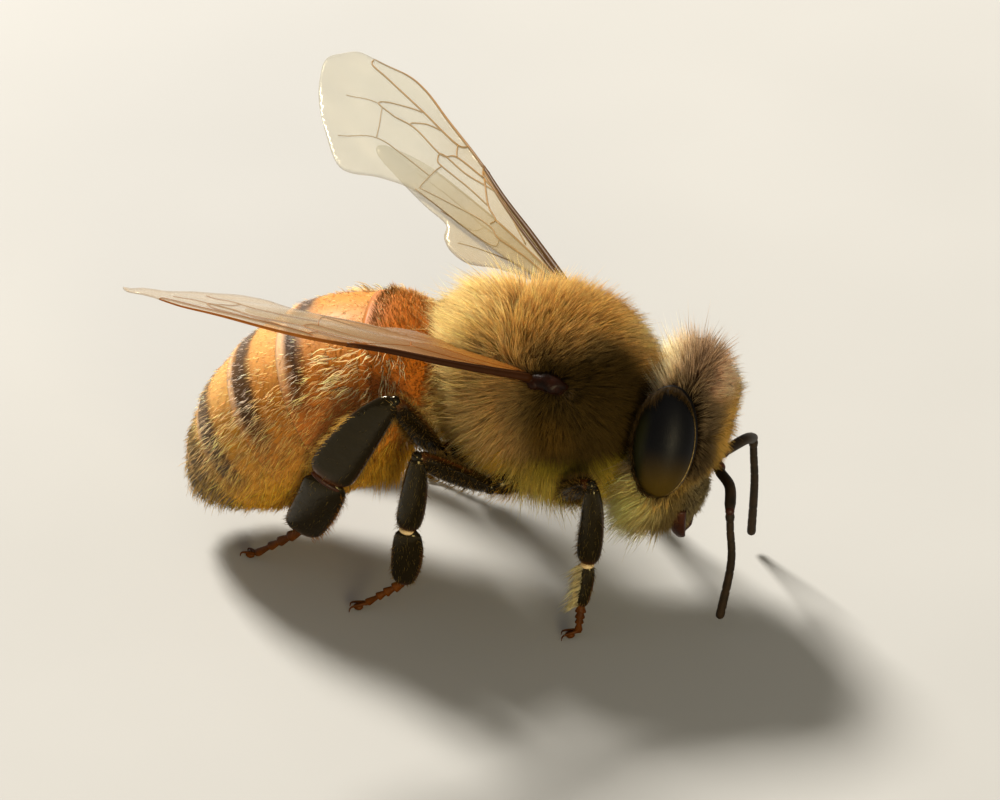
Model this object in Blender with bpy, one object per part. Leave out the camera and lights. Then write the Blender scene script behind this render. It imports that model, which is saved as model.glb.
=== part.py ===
"""A worker honey bee at life size, standing with its head bent to feed.

The bee is drawn in its own frame, in millimetres: +X towards the head, +Y to its left, +Z up,
with the middle of the thorax at the origin. One empty turns it to face -Y and stands it on z = 0.
Every outline runs out to the tips of the hair. Left limbs mirror the right ones with small
differences, as in a living insect.
"""
import math

import bmesh
import bpy
import numpy as np
from mathutils import Matrix, Vector

MM = 0.001
GAP = 0.05                  # clear space between two neighbouring parts
STAND_HEIGHT = 4.3          # middle of the thorax above the floor

# Thorax: half sizes out to the hair tips
THORAX_FRONT = 2.25
THORAX_REAR = 2.15
THORAX_SIDE = 2.2
THORAX_TOP = 2.28
THORAX_UNDER = 2.0

# Head: centre, how far the mouth is tucked back, the right eye raised and the face turned to
# the right, in degrees, then half sizes out to the hair tips
HEAD_CENTRE = Vector((2.6, 0.0, -0.87))
HEAD_TILT = 14
HEAD_ROLL = 11
HEAD_YAW = 2
HEAD_FACE = 0.96
HEAD_BACK = 0.85
HEAD_SIDE = 1.86
HEAD_TOP = 2.1
HEAD_CHIN = 1.95
NECK_AT = Vector((1.86, 0.0, -0.75))
NECK_RADIUS = 0.5
NECK_LENGTH = 0.7

# Compound eye: centre in the head's frame (forward, left, up), half sizes, how far its upper end is
# splayed inward and tipped back
EYE_CENTRE = Vector((-0.24, 1.38, 0.4))
EYE_SIZE = Vector((0.64, 0.53, 1.16))
EYE_SPLAY = math.radians(9)
EYE_TIP = math.radians(9)

# Antennae: scape foot, elbow, middle and tip of the flagellum
ANTENNAE = {
    "left": (Vector((3.36, 0.42, -1.3)), Vector((3.68, 1.5, -1.62)),
             Vector((3.7, 1.55, -2.75)), Vector((3.63, 1.6, -4.0))),
    "right": (Vector((3.42, -0.42, -1.28)), Vector((3.86, -1.5, -1.49)),
              Vector((3.9, -1.55, -2.7)), Vector((3.68, -1.6, -4.0))),
}
ANTENNA_RADIUS = 0.25

# Mouth, in the head's frame: root and tip of a mandible and of the folded tongue
MANDIBLE = (Vector((0.42, 0.55, -1.42)), Vector((0.48, 0.12, -1.9)))
MANDIBLE_SIZE = (0.3, 0.26, 0.25)
PROBOSCIS = (Vector((-0.15, 0.0, -1.5)), Vector((-0.25, 0.0, -1.92)))
PROBOSCIS_SIZE = (0.26, 0.25, 0.25)

# Abdomen: curved axis (x, z), then where its six rings end and how wide it is along that axis
ABDOMEN_AXIS = ((-2.25, -0.66), (-2.75, -0.45), (-3.5, -0.47), (-4.5, -0.88),
                (-5.5, -1.62), (-6.35, -2.42), (-7.0, -3.0), (-7.45, -3.42))
RING_ENDS = (0.06, 0.19, 0.39, 0.57, 0.77, 0.89, 1.0)
GIRTH = ((0.0, 0.5), (0.06, 1.35), (0.13, 1.85), (0.25, 2.1), (0.42, 2.14), (0.58, 2.0),
         (0.72, 1.72), (0.84, 1.32), (0.93, 0.86), (0.98, 0.42), (1.0, 0.16))
ABDOMEN_HEIGHT = 0.97       # height of a ring over its width
RING_SIDES = 22
PETIOLE_AXIS = ((-1.9, -0.6), (-2.62, -0.5))
PETIOLE_RADIUS = 0.34

# Legs, given on the left: hip, trochanter, knee, heel of the shin, end of the basitarsus, toe on the floor
FLOOR = -STAND_HEIGHT
LEGS = {
    "front": (Vector((1.15, 0.6, -1.5)), Vector((0.35, 1.1, -1.85)), Vector((1.21, 2.3, -0.76)),
              Vector((1.13, 2.3, -2.62)), Vector((1.04, 2.45, -3.55)), Vector((0.77, 2.52, FLOOR))),
    "mid": (Vector((-0.45, 0.7, -1.6)), Vector((-1.1, 1.25, -1.75)), Vector((-2.27, 2.7, -0.33)),
            Vector((-2.53, 2.45, -2.24)), Vector((-2.67, 2.3, -3.64)), Vector((-3.6, 2.45, FLOOR))),
    "hind": (Vector((-1.35, 0.75, -1.3)), Vector((-2.15, 1.35, -1.0)), Vector((-2.7, 2.75, 0.95)),
             Vector((-4.2, 2.38, -1.36)), Vector((-4.92, 1.7, -3.1)), Vector((-6.16, 1.0, FLOOR))),
}
LEFT_SHIFT = {              # from the mirror of the right knee, heel, basitarsus end and toe
    "front": (Vector((0.05, 0.0, 0.0)), Vector((0.1, 0.05, 0.0)), Vector((0.2, 0.05, 0.0)),
              Vector((0.3, 0.05, 0.0))),
    "mid": (Vector((0.5, 0.1, -0.1)), Vector((0.42, 0.15, -0.05)), Vector((0.35, 0.2, 0.0)),
            Vector((0.3, 0.25, 0.0))),
    "hind": (Vector((-0.4, 0.75, -1.55)), Vector((0.15, 0.82, -1.7)), Vector((-0.88, 1.0, -0.78)),
             Vector((-1.14, 1.2, 0.0))),
}
# Half width across the flat side at each end of a piece, and its half thickness
COXA = (0.36, 0.32, 0.32)
FEMUR = {"front": (0.26, 0.3, 0.28), "mid": (0.27, 0.3, 0.28), "hind": (0.27, 0.33, 0.28)}
TIBIA = {"front": (0.26, 0.34, 0.27), "mid": (0.26, 0.36, 0.27), "hind": (0.26, 0.62, 0.27)}
BASITARSUS = {"front": (0.29, 0.27, 0.26), "mid": (0.36, 0.3, 0.26), "hind": (0.6, 0.5, 0.27)}
FOOT_RADIUS = 0.25
TOE_LENGTH = 0.35           # the claws' flat stretch along the floor
TOE_SINK = 0.1              # how much of a toe's round the floor cuts to a flat
BLUNT = 5.0                 # how square the ends of a limb are

# Wings: root, then backward sweep, rise and pitch at the root in degrees; how far a wing twists, in
# degrees a millimetre, and how it droops towards its tip, as a share of the length squared
WING_ROOT = Vector((0.0, 1.5, 1.05))
WING_POSE = {"left": (39.7, 7.0, 0.0), "right": (23.2, 24.4, -2.1)}
WING_TWIST = {"left": 0.0, "right": -3.2}
WING_DROOP = {"left": 0.0, "right": 0.009}
WING_THICKNESS = 0.5
WING_STEP, WING_CUTS = 0.7, 14
# Outlines from root to tip and back, along the wing and across it towards the trailing edge
FOREWING = ((0.15, -0.2), (1.0, -0.36), (2.3, -0.62), (3.5, -0.88), (4.6, -1.14), (5.9, -1.44),
            (7.0, -1.67), (7.8, -1.71), (8.5, -1.52), (9.0, -1.1), (9.2, -0.6), (9.0, -0.2),
            (8.5, 0.1), (7.8, 0.56), (7.1, 1.0), (6.5, 1.32), (6.1, 1.38), (5.7, 1.12),
            (5.3, 0.76), (4.8, 0.55), (3.9, 0.49), (2.9, 0.42), (1.8, 0.33), (0.15, 0.1))
HINDWING = ((0.5, -0.2), (2.0, -0.35), (3.6, -0.38), (5.0, -0.3), (6.0, -0.12), (6.45, 0.12),
            (6.2, 0.4), (5.2, 0.52), (4.2, 0.6), (3.5, 0.62), (3.25, 0.9), (2.75, 1.04),
            (2.2, 0.86), (1.6, 0.5), (0.5, 0.2))
TEGULA_CENTRE = Vector((0.3, 1.98, 1.08))
TEGULA_SIZE = Vector((0.42, 0.28, 0.3))

COLOURS = {                 # base colour and roughness
    "thorax_fur": ((0.42, 0.25, 0.09), 0.9),
    "head_fur": ((0.33, 0.2, 0.1), 0.9),
    "amber_shell": ((0.62, 0.27, 0.05), 0.45),
    "dark_shell": ((0.05, 0.03, 0.02), 0.4),
    "compound_eye": ((0.015, 0.012, 0.012), 0.2),
    "red_brown": ((0.16, 0.05, 0.02), 0.4),
    "wing": ((0.75, 0.62, 0.42), 0.25),
}


def clear_scene():
    for obj in list(bpy.data.objects):
        bpy.data.objects.remove(obj, do_unlink=True)


def make_collection(name):
    collection = bpy.data.collections.new(name)
    bpy.context.scene.collection.children.link(collection)
    return collection


def make_material(part_name, look):
    colour, roughness = COLOURS[look]
    material = bpy.data.materials.new(part_name)
    material.use_nodes = True
    shader = material.node_tree.nodes["Principled BSDF"]
    shader.inputs["Base Color"].default_value = (*colour, 1.0)
    shader.inputs["Roughness"].default_value = roughness
    shader.inputs["Metallic"].default_value = 0.0
    return material


def add_part(name, bm, look):
    """Turn a shape drawn in millimetres into a named part under the bee's frame."""
    bmesh.ops.recalc_face_normals(bm, faces=bm.faces)
    bm.transform(Matrix.Scale(MM, 4))
    mesh = bpy.data.meshes.new(name)
    bm.to_mesh(mesh)
    bm.free()
    mesh.shade_smooth()
    mesh.set_sharp_from_angle(angle=math.radians(40))
    mesh.materials.append(make_material(name, look))
    part = bpy.data.objects.new(name, mesh)
    part.parent = FRAME
    BEE.objects.link(part)
    return part


def add_cutter(name, bm):
    cutter = add_part(name, bm, "dark_shell")
    BEE.objects.unlink(cutter)
    CUTTERS.objects.link(cutter)
    cutter.hide_render = True
    cutter.display_type = "WIRE"
    return cutter


def carve(part, cutter):
    cut = part.modifiers.new(cutter.name, "BOOLEAN")
    cut.operation = "DIFFERENCE"
    cut.solver = "EXACT"
    cut.object = cutter


def ball(segments, rings):
    bm = bmesh.new()
    bmesh.ops.create_uvsphere(bm, u_segments=segments, v_segments=rings, radius=1.0)
    return bm


def ellipsoid(centre, size, segments, rings, grow=0.0, turn=None):
    bm = ball(segments, rings)
    bm.transform(Matrix.Diagonal((*(axis + grow for axis in size), 1.0)))
    if turn:
        bm.transform(turn)
    bm.transform(Matrix.Translation(centre))
    return bm


def slice_off(bm, point, normal):
    """Cut the shape along a plane, drop what lies on the normal's side, and close the cut."""
    bmesh.ops.bisect_plane(bm, geom=bm.verts[:] + bm.edges[:] + bm.faces[:], dist=1e-5,
                           plane_co=point, plane_no=normal, clear_outer=True)
    rim = [edge for edge in bm.edges if edge.is_boundary]
    bmesh.ops.holes_fill(bm, edges=rim, sides=0)


def mirrored(point, side):
    return Vector((point.x, point.y * side, point.z))


def smooth_path(points, steps):
    """Points along a Catmull-Rom curve through the given ones."""
    ends = [points[0] * 2 - points[1], *points, points[-1] * 2 - points[-2]]
    path = []
    for a, b, c, d in zip(ends, ends[1:], ends[2:], ends[3:]):
        for step in range(steps):
            t = step / steps
            path.append(0.5 * ((b * 2) + (c - a) * t + (a * 2 - b * 5 + c * 4 - d) * t ** 2
                               + (b * 3 - a - c * 3 + d) * t ** 3))
    path.append(points[-1])
    return path


def curve_mesh(curve):
    """The closed, welded mesh of a curve, as a bmesh."""
    holder = bpy.data.objects.new("curve", curve)
    bpy.context.scene.collection.objects.link(holder)
    bpy.context.view_layer.update()
    evaluated = holder.evaluated_get(bpy.context.evaluated_depsgraph_get())
    mesh = bpy.data.meshes.new_from_object(evaluated)
    bpy.data.objects.remove(holder, do_unlink=True)
    bm = bmesh.new()
    bm.from_mesh(mesh)
    bmesh.ops.remove_doubles(bm, verts=bm.verts, dist=1e-4)
    return bm


def tube(points, radius):
    curve = bpy.data.curves.new("tube", "CURVE")
    curve.dimensions = "3D"
    curve.bevel_depth = radius
    curve.bevel_resolution = 2
    curve.use_fill_caps = True
    spline = curve.splines.new("POLY")
    spline.points.add(len(points) - 1)
    for knot, point in zip(spline.points, points):
        knot.co = (*point, 1.0)
    return curve_mesh(curve)


def slab(outline, thickness):
    curve = bpy.data.curves.new("slab", "CURVE")
    curve.dimensions = "2D"
    curve.fill_mode = "BOTH"
    curve.extrude = thickness / 2
    spline = curve.splines.new("POLY")
    spline.points.add(len(outline) - 1)
    spline.use_cyclic_u = True
    for knot, (along, across) in zip(spline.points, outline):
        knot.co = (along, across, 0.0, 1.0)
    return curve_mesh(curve)


def limb(start, end, half_sizes, segments=8, rings=8):
    """A blunt-ended rod, flat sides facing left and right, that reaches past both its joints."""
    width_start, width_end, thick = half_sizes
    axis = (end - start).normalized()
    wide = axis.cross(Vector((0.0, 1.0, 0.0))).normalized()
    flat = axis.cross(wide)
    reach = (end - start).length + 2 * thick
    bm = ball(segments, rings)
    for vert in bm.verts:
        share = (1 + vert.co.z) / 2
        round_off = (1 - abs(vert.co.z) ** BLUNT) ** (1 / BLUNT)
        spoke = Vector((vert.co.x, vert.co.y))
        if spoke.length > 1e-6:
            spoke.normalize()
        width = (width_start + (width_end - width_start) * share) * round_off
        vert.co = (start + axis * (reach * share - thick)
                   + wide * (spoke.x * width) + flat * (spoke.y * thick * round_off))
    return bm


def mitre(joint, before, after):
    """The normal, towards the piece that comes after, of the plane that halves a joint."""
    return ((after - joint).normalized() - (before - joint).normalized()).normalized()


def trim_ends(bm, joints, index):
    """Part a limb from its neighbours: it runs from joints[index] to joints[index + 1]."""
    if index > 0:
        normal = mitre(joints[index], joints[index - 1], joints[index + 1])
        slice_off(bm, joints[index] + normal * GAP / 2, -normal)
    if index + 2 < len(joints):
        normal = mitre(joints[index + 1], joints[index], joints[index + 2])
        slice_off(bm, joints[index + 1] - normal * GAP / 2, normal)


def thorax_shape(grow=0.0):
    bm = ball(24, 16)
    for vert in bm.verts:
        x, y, z = vert.co
        vert.co = Vector((x * ((THORAX_FRONT if x > 0 else THORAX_REAR) + grow),
                          y * (THORAX_SIDE + grow),
                          z * ((THORAX_TOP if z > 0 else THORAX_UNDER) + grow)))
    slice_off(bm, NECK_AT - FACE * (GAP / 2 - grow), FACE)
    return bm


def head_shape(grow=0.0):
    bm = ball(24, 16)
    for vert in bm.verts:
        x, y, z = vert.co
        low = max(0.0, -z)
        vert.co = Vector((x * ((HEAD_FACE if x > 0 else HEAD_BACK) + grow) * (1 - 0.42 * low),
                          y * (HEAD_SIDE + grow) * (1 - 0.24 * low ** 1.5),
                          z * ((HEAD_TOP if z > 0 else HEAD_CHIN) + grow)))
    bm.transform(Matrix.Translation(HEAD_CENTRE) @ HEAD_TURN)
    slice_off(bm, NECK_AT + FACE * (GAP / 2 - grow), -FACE)
    return bm


def eye_shape(side, grow=0.0, segments=14, rings=10):
    centre = HEAD_CENTRE + HEAD_TURN @ mirrored(EYE_CENTRE, side)
    turn = HEAD_TURN @ Matrix.Rotation(-EYE_TIP, 4, "Y") @ Matrix.Rotation(EYE_SPLAY * side, 4, "X")
    return ellipsoid(centre, EYE_SIZE, segments, rings, grow, turn)


def add_trunk():
    """Thorax, neck, head, eyes and the wing-base scales, each seated in the next."""
    thorax = add_part("thorax", thorax_shape(), "thorax_fur")
    head = add_part("head", head_shape(), "head_fur")
    neck_ends = [NECK_AT - FACE * NECK_LENGTH / 2, NECK_AT + FACE * NECK_LENGTH / 2]
    bore_ends = [NECK_AT - FACE * (NECK_LENGTH / 2 + GAP), NECK_AT + FACE * (NECK_LENGTH / 2 + GAP)]
    add_part("neck", tube(neck_ends, NECK_RADIUS), "dark_shell")
    bore = add_cutter("neck_bore", tube(bore_ends, NECK_RADIUS + GAP))
    carve(thorax, bore)
    carve(head, bore)
    for name, side in SIDES:
        add_part("eye_" + name, eye_shape(side), "compound_eye")
        carve(head, add_cutter("eye_socket_" + name, eye_shape(side, GAP)))
        tegula_at = mirrored(TEGULA_CENTRE, side)
        add_part("tegula_" + name, ellipsoid(tegula_at, TEGULA_SIZE, 10, 8), "red_brown")
        socket = add_cutter("tegula_socket_" + name, ellipsoid(tegula_at, TEGULA_SIZE, 10, 8, GAP))
        carve(thorax, socket)


def add_mouth():
    """Two mandibles that meet under the face, and the folded tongue behind them."""
    for name, side in SIDES:
        top = HEAD_CENTRE + HEAD_TURN @ mirrored(MANDIBLE[0], side)
        tip = HEAD_CENTRE + HEAD_TURN @ mirrored(MANDIBLE[1], side)
        mandible = limb(top, tip, MANDIBLE_SIZE)
        inward = HEAD_TURN @ Vector((0.0, -side, 0.0))
        slice_off(mandible, HEAD_CENTRE - inward * GAP / 2, inward)
        carve(add_part("mandible_" + name, mandible, "red_brown"), HEAD_CUTTER)
    top, tip = (HEAD_CENTRE + HEAD_TURN @ point for point in PROBOSCIS)
    carve(add_part("proboscis", limb(top, tip, PROBOSCIS_SIZE), "red_brown"), HEAD_CUTTER)


def add_antennae():
    for name, (foot, elbow, middle, tip) in ANTENNAE.items():
        joints = [foot, elbow, middle]
        past = (elbow - foot).normalized() * ANTENNA_RADIUS
        scape = tube([foot, elbow + past], ANTENNA_RADIUS)
        trim_ends(scape, joints, 0)
        carve(add_part("antenna_%s_scape" % name, scape, "dark_shell"), HEAD_CUTTER)
        above = (elbow - middle).normalized() * ANTENNA_RADIUS
        flagellum = tube([elbow + above, *smooth_path([elbow, middle, tip], 3)], ANTENNA_RADIUS)
        trim_ends(flagellum, joints, 1)
        add_part("antenna_%s_flagellum" % name, flagellum, "dark_shell")


def axis_table():
    """Points along the abdomen's axis with the share of its length at each."""
    path = smooth_path([Vector((x, 0.0, z)) for x, z in ABDOMEN_AXIS], 12)
    steps = [(b - a).length for a, b in zip(path, path[1:])]
    shares = np.concatenate([[0.0], np.cumsum(steps)]) / sum(steps)
    return np.array(path), shares, sum(steps)


def abdomen_ring(share):
    """The corners of the abdomen's section at a share of its axis."""
    path, shares, _ = AXIS
    centre = Vector([np.interp(share, shares, path[:, k]) for k in range(3)])
    ahead = Vector([np.interp(min(share + 0.02, 1), shares, path[:, k]) for k in range(3)])
    behind = Vector([np.interp(max(share - 0.02, 0), shares, path[:, k]) for k in range(3)])
    along = (ahead - behind).normalized()
    up = along.cross(Vector((0.0, -1.0, 0.0)))
    radius = float(np.interp(share, *zip(*GIRTH)))
    corners = []
    for k in range(RING_SIDES):
        turn = 2 * math.pi * k / RING_SIDES
        corners.append(centre + Vector((0.0, radius * math.cos(turn), 0.0))
                       + up * (radius * ABDOMEN_HEIGHT * math.sin(turn)))
    return corners


def loft(sections):
    bm = bmesh.new()
    rings = [[bm.verts.new(corner) for corner in section] for section in sections]
    for ring, after in zip(rings, rings[1:]):
        for k in range(len(ring)):
            near = (k + 1) % len(ring)
            bm.faces.new((ring[k], ring[near], after[near], after[k]))
    bm.faces.new(rings[0])
    bm.faces.new(rings[-1])
    return bm


def add_abdomen(thorax_cutter):
    half_gap = GAP / 2 / AXIS[2]
    for number, (start, end) in enumerate(zip((0.0, *RING_ENDS), RING_ENDS)):
        shares = np.linspace(start + half_gap, end - half_gap * (number < 6), 4)
        if number == 0:
            front, back = (Vector((x, 0.0, z)) for x, z in PETIOLE_AXIS)
            petiole = add_part("petiole", tube([front, back], PETIOLE_RADIUS), "dark_shell")
            carve(petiole, thorax_cutter)
        else:
            add_part("abdomen_%d" % number, loft([abdomen_ring(s) for s in shares]), "amber_shell")


def leg_joints(pair, side):
    joints = [mirrored(joint, side) for joint in LEGS[pair]]
    if side > 0:
        joints[2:] = [joint + shift for joint, shift in zip(joints[2:], LEFT_SHIFT[pair])]
    return joints


def add_foot(name, joints):
    """The small tarsal joints and claws: a tube down from the basitarsus, then along the floor."""
    root, toe = joints[4], joints[5]
    forward = Vector((toe.x - root.x, toe.y - root.y, 0.0)).normalized()
    toe_tip = toe + Vector((0.0, 0.0, FOOT_RADIUS - TOE_SINK))
    toe_root = toe_tip - forward * TOE_LENGTH
    past = (root - toe_root).normalized() * FOOT_RADIUS
    foot = tube([root + past, toe_root, toe_tip], FOOT_RADIUS)
    normal = mitre(root, joints[3], toe_root)
    slice_off(foot, root + normal * GAP / 2, -normal)
    slice_off(foot, Vector((0.0, 0.0, FLOOR)), Vector((0.0, 0.0, -1.0)))
    add_part(name, foot, "red_brown")


def add_legs(thorax_cutter):
    for pair in LEGS:
        sizes = (COXA, FEMUR[pair], TIBIA[pair], BASITARSUS[pair])
        for side_name, side in SIDES:
            joints = leg_joints(pair, side)
            leg = "leg_%s_%s_" % (pair, side_name)
            for index, piece in enumerate(("coxa", "femur", "tibia", "basitarsus")):
                shape = limb(joints[index], joints[index + 1], sizes[index])
                trim_ends(shape, joints, index)
                part = add_part(leg + piece, shape, "dark_shell")
                if index < 2:
                    carve(part, thorax_cutter)
            add_foot(leg + "foot", joints)


def wing_axes(name, side):
    """Unit vectors along a wing, across it towards its trailing edge, and up from it."""
    sweep, rise, pitch = (math.radians(angle) for angle in WING_POSE[name])
    along = Vector((-math.cos(sweep) * math.cos(rise), side * math.sin(sweep) * math.cos(rise),
                    math.sin(rise)))
    level = along.cross(Vector((0.0, 0.0, 1.0))) * -side
    level.normalize()
    top = along.cross(level) * side
    across = level * math.cos(pitch) - top * math.sin(pitch)
    up = top * math.cos(pitch) + level * math.sin(pitch)
    return along, across, up


def warp_wing(bm, name):
    """Cut a flat wing across at even steps, then twist and droop it along its length."""
    for step in range(1, WING_CUTS):
        everything = bm.verts[:] + bm.edges[:] + bm.faces[:]
        bmesh.ops.bisect_plane(bm, geom=everything, plane_co=(step * WING_STEP, 0, 0), plane_no=(1, 0, 0))
    bmesh.ops.triangulate(bm, faces=bm.faces)
    for vert in bm.verts:
        along = vert.co.x
        vert.co = Matrix.Rotation(math.radians(WING_TWIST[name] * along), 3, "X") @ vert.co
        vert.co.z -= WING_DROOP[name] * along ** 2


def add_wings(thorax_cutter):
    for name, side in SIDES:
        along, across, up = wing_axes(name, side)
        root = mirrored(WING_ROOT, side)
        tegula_socket = bpy.data.objects["tegula_socket_" + name]
        for wing, outline, drop in (("forewing_", FOREWING, 0.0),
                                    ("hindwing_", HINDWING, WING_THICKNESS + GAP)):
            bm = slab(outline, WING_THICKNESS)
            warp_wing(bm, name)
            turn = Matrix((along, across, up)).transposed().to_4x4()
            bm.transform(Matrix.Translation(root - up * drop) @ turn)
            part = add_part(wing + name, bm, "wing")
            carve(part, thorax_cutter)
            carve(part, tegula_socket)


def centre_on_origin():
    """Move the whole bee so that its feet stand on z = 0 around the middle of its outline."""
    bpy.context.view_layer.update()
    corners = [part.matrix_world @ Vector(corner) for part in BEE.objects for corner in part.bound_box]
    for axis in (0, 1):
        values = [corner[axis] for corner in corners]
        FRAME.location[axis] -= (min(values) + max(values)) / 2


HEAD_TURN = (Matrix.Rotation(math.radians(-HEAD_YAW), 4, "Z")
             @ Matrix.Rotation(math.radians(HEAD_TILT), 4, "Y")
             @ Matrix.Rotation(math.radians(-HEAD_ROLL), 4, "X"))
FACE = HEAD_TURN @ Vector((1.0, 0.0, 0.0))
SIDES = (("left", 1), ("right", -1))
AXIS = axis_table()

clear_scene()
BEE = make_collection("honey_bee")
CUTTERS = make_collection("cutters")
FRAME = bpy.data.objects.new("bee_frame", None)
FRAME.location = (0.0, 0.0, STAND_HEIGHT * MM)
FRAME.rotation_euler = (0.0, 0.0, math.radians(-90))
BEE.objects.link(FRAME)
THORAX_CUTTER = add_cutter("thorax_outline", thorax_shape(GAP))
HEAD_CUTTER = add_cutter("head_outline", head_shape(GAP))

add_trunk()
add_mouth()
add_antennae()
add_abdomen(THORAX_CUTTER)
add_legs(THORAX_CUTTER)
add_wings(THORAX_CUTTER)
centre_on_origin()
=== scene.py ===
"""Looks of a worker honey bee at life size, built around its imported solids.

Shapes are drawn in the bee's own frame, in millimetres: +X towards the head, +Y to its left, +Z up,
from the middle of the thorax. place() turns them into the model's world, in metres. Colours are linear.
The joints and outlines repeat the CAD model's; skins lie inside it by the depth of the coat.
"""
import math

import bmesh
import bpy
import numpy as np
from mathutils import Matrix, Vector, geometry, kdtree


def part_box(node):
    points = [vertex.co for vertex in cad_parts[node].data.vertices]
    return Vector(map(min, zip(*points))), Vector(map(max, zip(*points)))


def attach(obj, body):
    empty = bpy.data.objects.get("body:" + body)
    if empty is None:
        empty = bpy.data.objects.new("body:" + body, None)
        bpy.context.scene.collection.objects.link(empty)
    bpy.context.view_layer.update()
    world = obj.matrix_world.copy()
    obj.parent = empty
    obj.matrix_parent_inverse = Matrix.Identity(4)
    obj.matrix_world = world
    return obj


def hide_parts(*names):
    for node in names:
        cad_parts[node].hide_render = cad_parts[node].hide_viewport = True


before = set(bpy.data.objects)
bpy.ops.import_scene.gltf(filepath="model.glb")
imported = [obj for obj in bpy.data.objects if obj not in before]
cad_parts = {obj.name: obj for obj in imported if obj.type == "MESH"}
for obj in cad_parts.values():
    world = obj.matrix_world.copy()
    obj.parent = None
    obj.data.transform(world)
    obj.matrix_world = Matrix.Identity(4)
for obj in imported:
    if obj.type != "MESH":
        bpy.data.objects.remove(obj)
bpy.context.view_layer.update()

MM = 0.001
TAU = 2 * math.pi
STAND_HEIGHT = 4.3          # middle of the thorax above the floor
FLOOR = -STAND_HEIGHT
THORAX_REAR = 2.15          # middle of the thorax to the rear of its coat
THORAX_BOX = [np.array(corner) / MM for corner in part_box("thorax")]
MIDDLE = np.array(((THORAX_BOX[0][0] + THORAX_BOX[1][0]) / 2, THORAX_BOX[1][1] - THORAX_REAR, STAND_HEIGHT))
SIDES = (("left", 1), ("right", -1))

# Head: its centre and how it is turned, in degrees, then half sizes of the skin
HEAD_CENTRE = np.array((2.6, 0.0, -0.87))
HEAD_TILT, HEAD_ROLL, HEAD_YAW = 14, 11, 2
HEAD_FACE, HEAD_BACK, HEAD_SIDE, HEAD_TOP, HEAD_CHIN = 0.64, 0.52, 1.6, 1.6, 1.86
EYE_CENTRE = (-0.24, 1.38, 0.4)
EYE_SIZE = (0.64, 0.53, 1.16)
EYE_SPLAY, EYE_TIP = 9, 9   # how far its upper end is splayed inward and tipped back, in degrees
NECK_AT = np.array((1.86, 0.0, -0.75))

# Abdomen: curved axis (x, z), where its six rings end and how wide it is along that axis
ABDOMEN_AXIS = ((-2.25, -0.66), (-2.75, -0.45), (-3.5, -0.47), (-4.5, -0.88),
                (-5.5, -1.62), (-6.35, -2.42), (-7.0, -3.0), (-7.45, -3.42))
RING_ENDS = (0.06, 0.19, 0.39, 0.57, 0.77, 0.89, 1.0)
RINGS = len(RING_ENDS) - 1
GIRTH = ((0.0, 0.5), (0.06, 1.35), (0.13, 1.85), (0.25, 2.1), (0.42, 2.14), (0.58, 2.0),
         (0.72, 1.72), (0.84, 1.32), (0.93, 0.86), (0.98, 0.42), (1.0, 0.16))
WIDEST = 2.15
ABDOMEN_HEIGHT = 0.97       # half its height, as a share of half its width
PLATE_DEPTH = 0.08          # short coat over the plates
PLATE_RISE = 0.012          # how far the plates' skin stands above that
OVERLAP = 0.014             # how far a plate runs over the next, as a share of the axis
LIP = 0.07                  # how far a plate's rear edge stands over the next plate

# Legs on the left: hip, trochanter, knee, heel of the shin, end of the basitarsus, toe
LEGS = {
    "front": ((1.15, 0.6, -1.5), (0.35, 1.1, -1.85), (1.21, 2.3, -0.76), (1.13, 2.3, -2.62),
              (1.04, 2.45, -3.55), (0.77, 2.52, FLOOR)),
    "mid": ((-0.45, 0.7, -1.6), (-1.1, 1.25, -1.75), (-2.27, 2.7, -0.33), (-2.53, 2.45, -2.24),
            (-2.67, 2.3, -3.64), (-3.6, 2.45, FLOOR)),
    "hind": ((-1.35, 0.75, -1.3), (-2.15, 1.35, -1.0), (-2.7, 2.75, 0.95), (-4.2, 2.38, -1.36),
             (-4.92, 1.7, -3.1), (-6.16, 1.0, FLOOR)),
}
LEFT_SHIFT = {              # from the mirror of the right knee, heel, basitarsus end and toe
    "front": ((0.05, 0.0, 0.0), (0.1, 0.05, 0.0), (0.2, 0.05, 0.0), (0.3, 0.05, 0.0)),
    "mid": ((0.5, 0.1, -0.1), (0.42, 0.15, -0.05), (0.35, 0.2, 0.0), (0.3, 0.25, 0.0)),
    "hind": ((-0.4, 0.75, -1.55), (0.15, 0.82, -1.7), (-0.88, 1.0, -0.78), (-1.14, 1.2, 0.0)),
}

# Antennae: scape foot, elbow, middle and tip of the flagellum
ANTENNAE = {
    "left": ((3.36, 0.42, -1.3), (3.68, 1.5, -1.62), (3.7, 1.55, -2.75), (3.63, 1.6, -4.0)),
    "right": ((3.42, -0.42, -1.28), (3.86, -1.5, -1.49), (3.9, -1.55, -2.7), (3.68, -1.6, -4.0)),
}

# Wings: root, then backward sweep, rise and pitch at the root in degrees; how far a wing twists, in
# degrees a millimetre, and how it droops towards its tip, as a share of the length squared
WING_ROOT = (0.0, 1.5, 1.05)
WING_POSE = {"left": (39.7, 7.0, 0.0), "right": (23.2, 24.4, -2.1)}
WING_TWIST = {"left": 0.0, "right": -3.2}
WING_DROOP = {"left": 0.0, "right": 0.009}
TEGULA_CENTRE = (0.3, 1.98, 1.08)

GOLD = np.array((0.92, 0.56, 0.17))
CREAM = np.array((0.86, 0.66, 0.33))
OLIVE = np.array((0.25, 0.14, 0.012))
BROWN = np.array((0.08, 0.036, 0.01))
BLACK = np.array((0.01, 0.008, 0.005))
ORANGE = np.array((0.55, 0.15, 0.006))
AMBER = np.array((0.68, 0.3, 0.03))
STRAW = np.array((0.64, 0.38, 0.045))


# ---------------------------------------------------------------- points and faces

def turned(degrees, axis):
    return np.array(Matrix.Rotation(math.radians(degrees), 3, axis))


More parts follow.
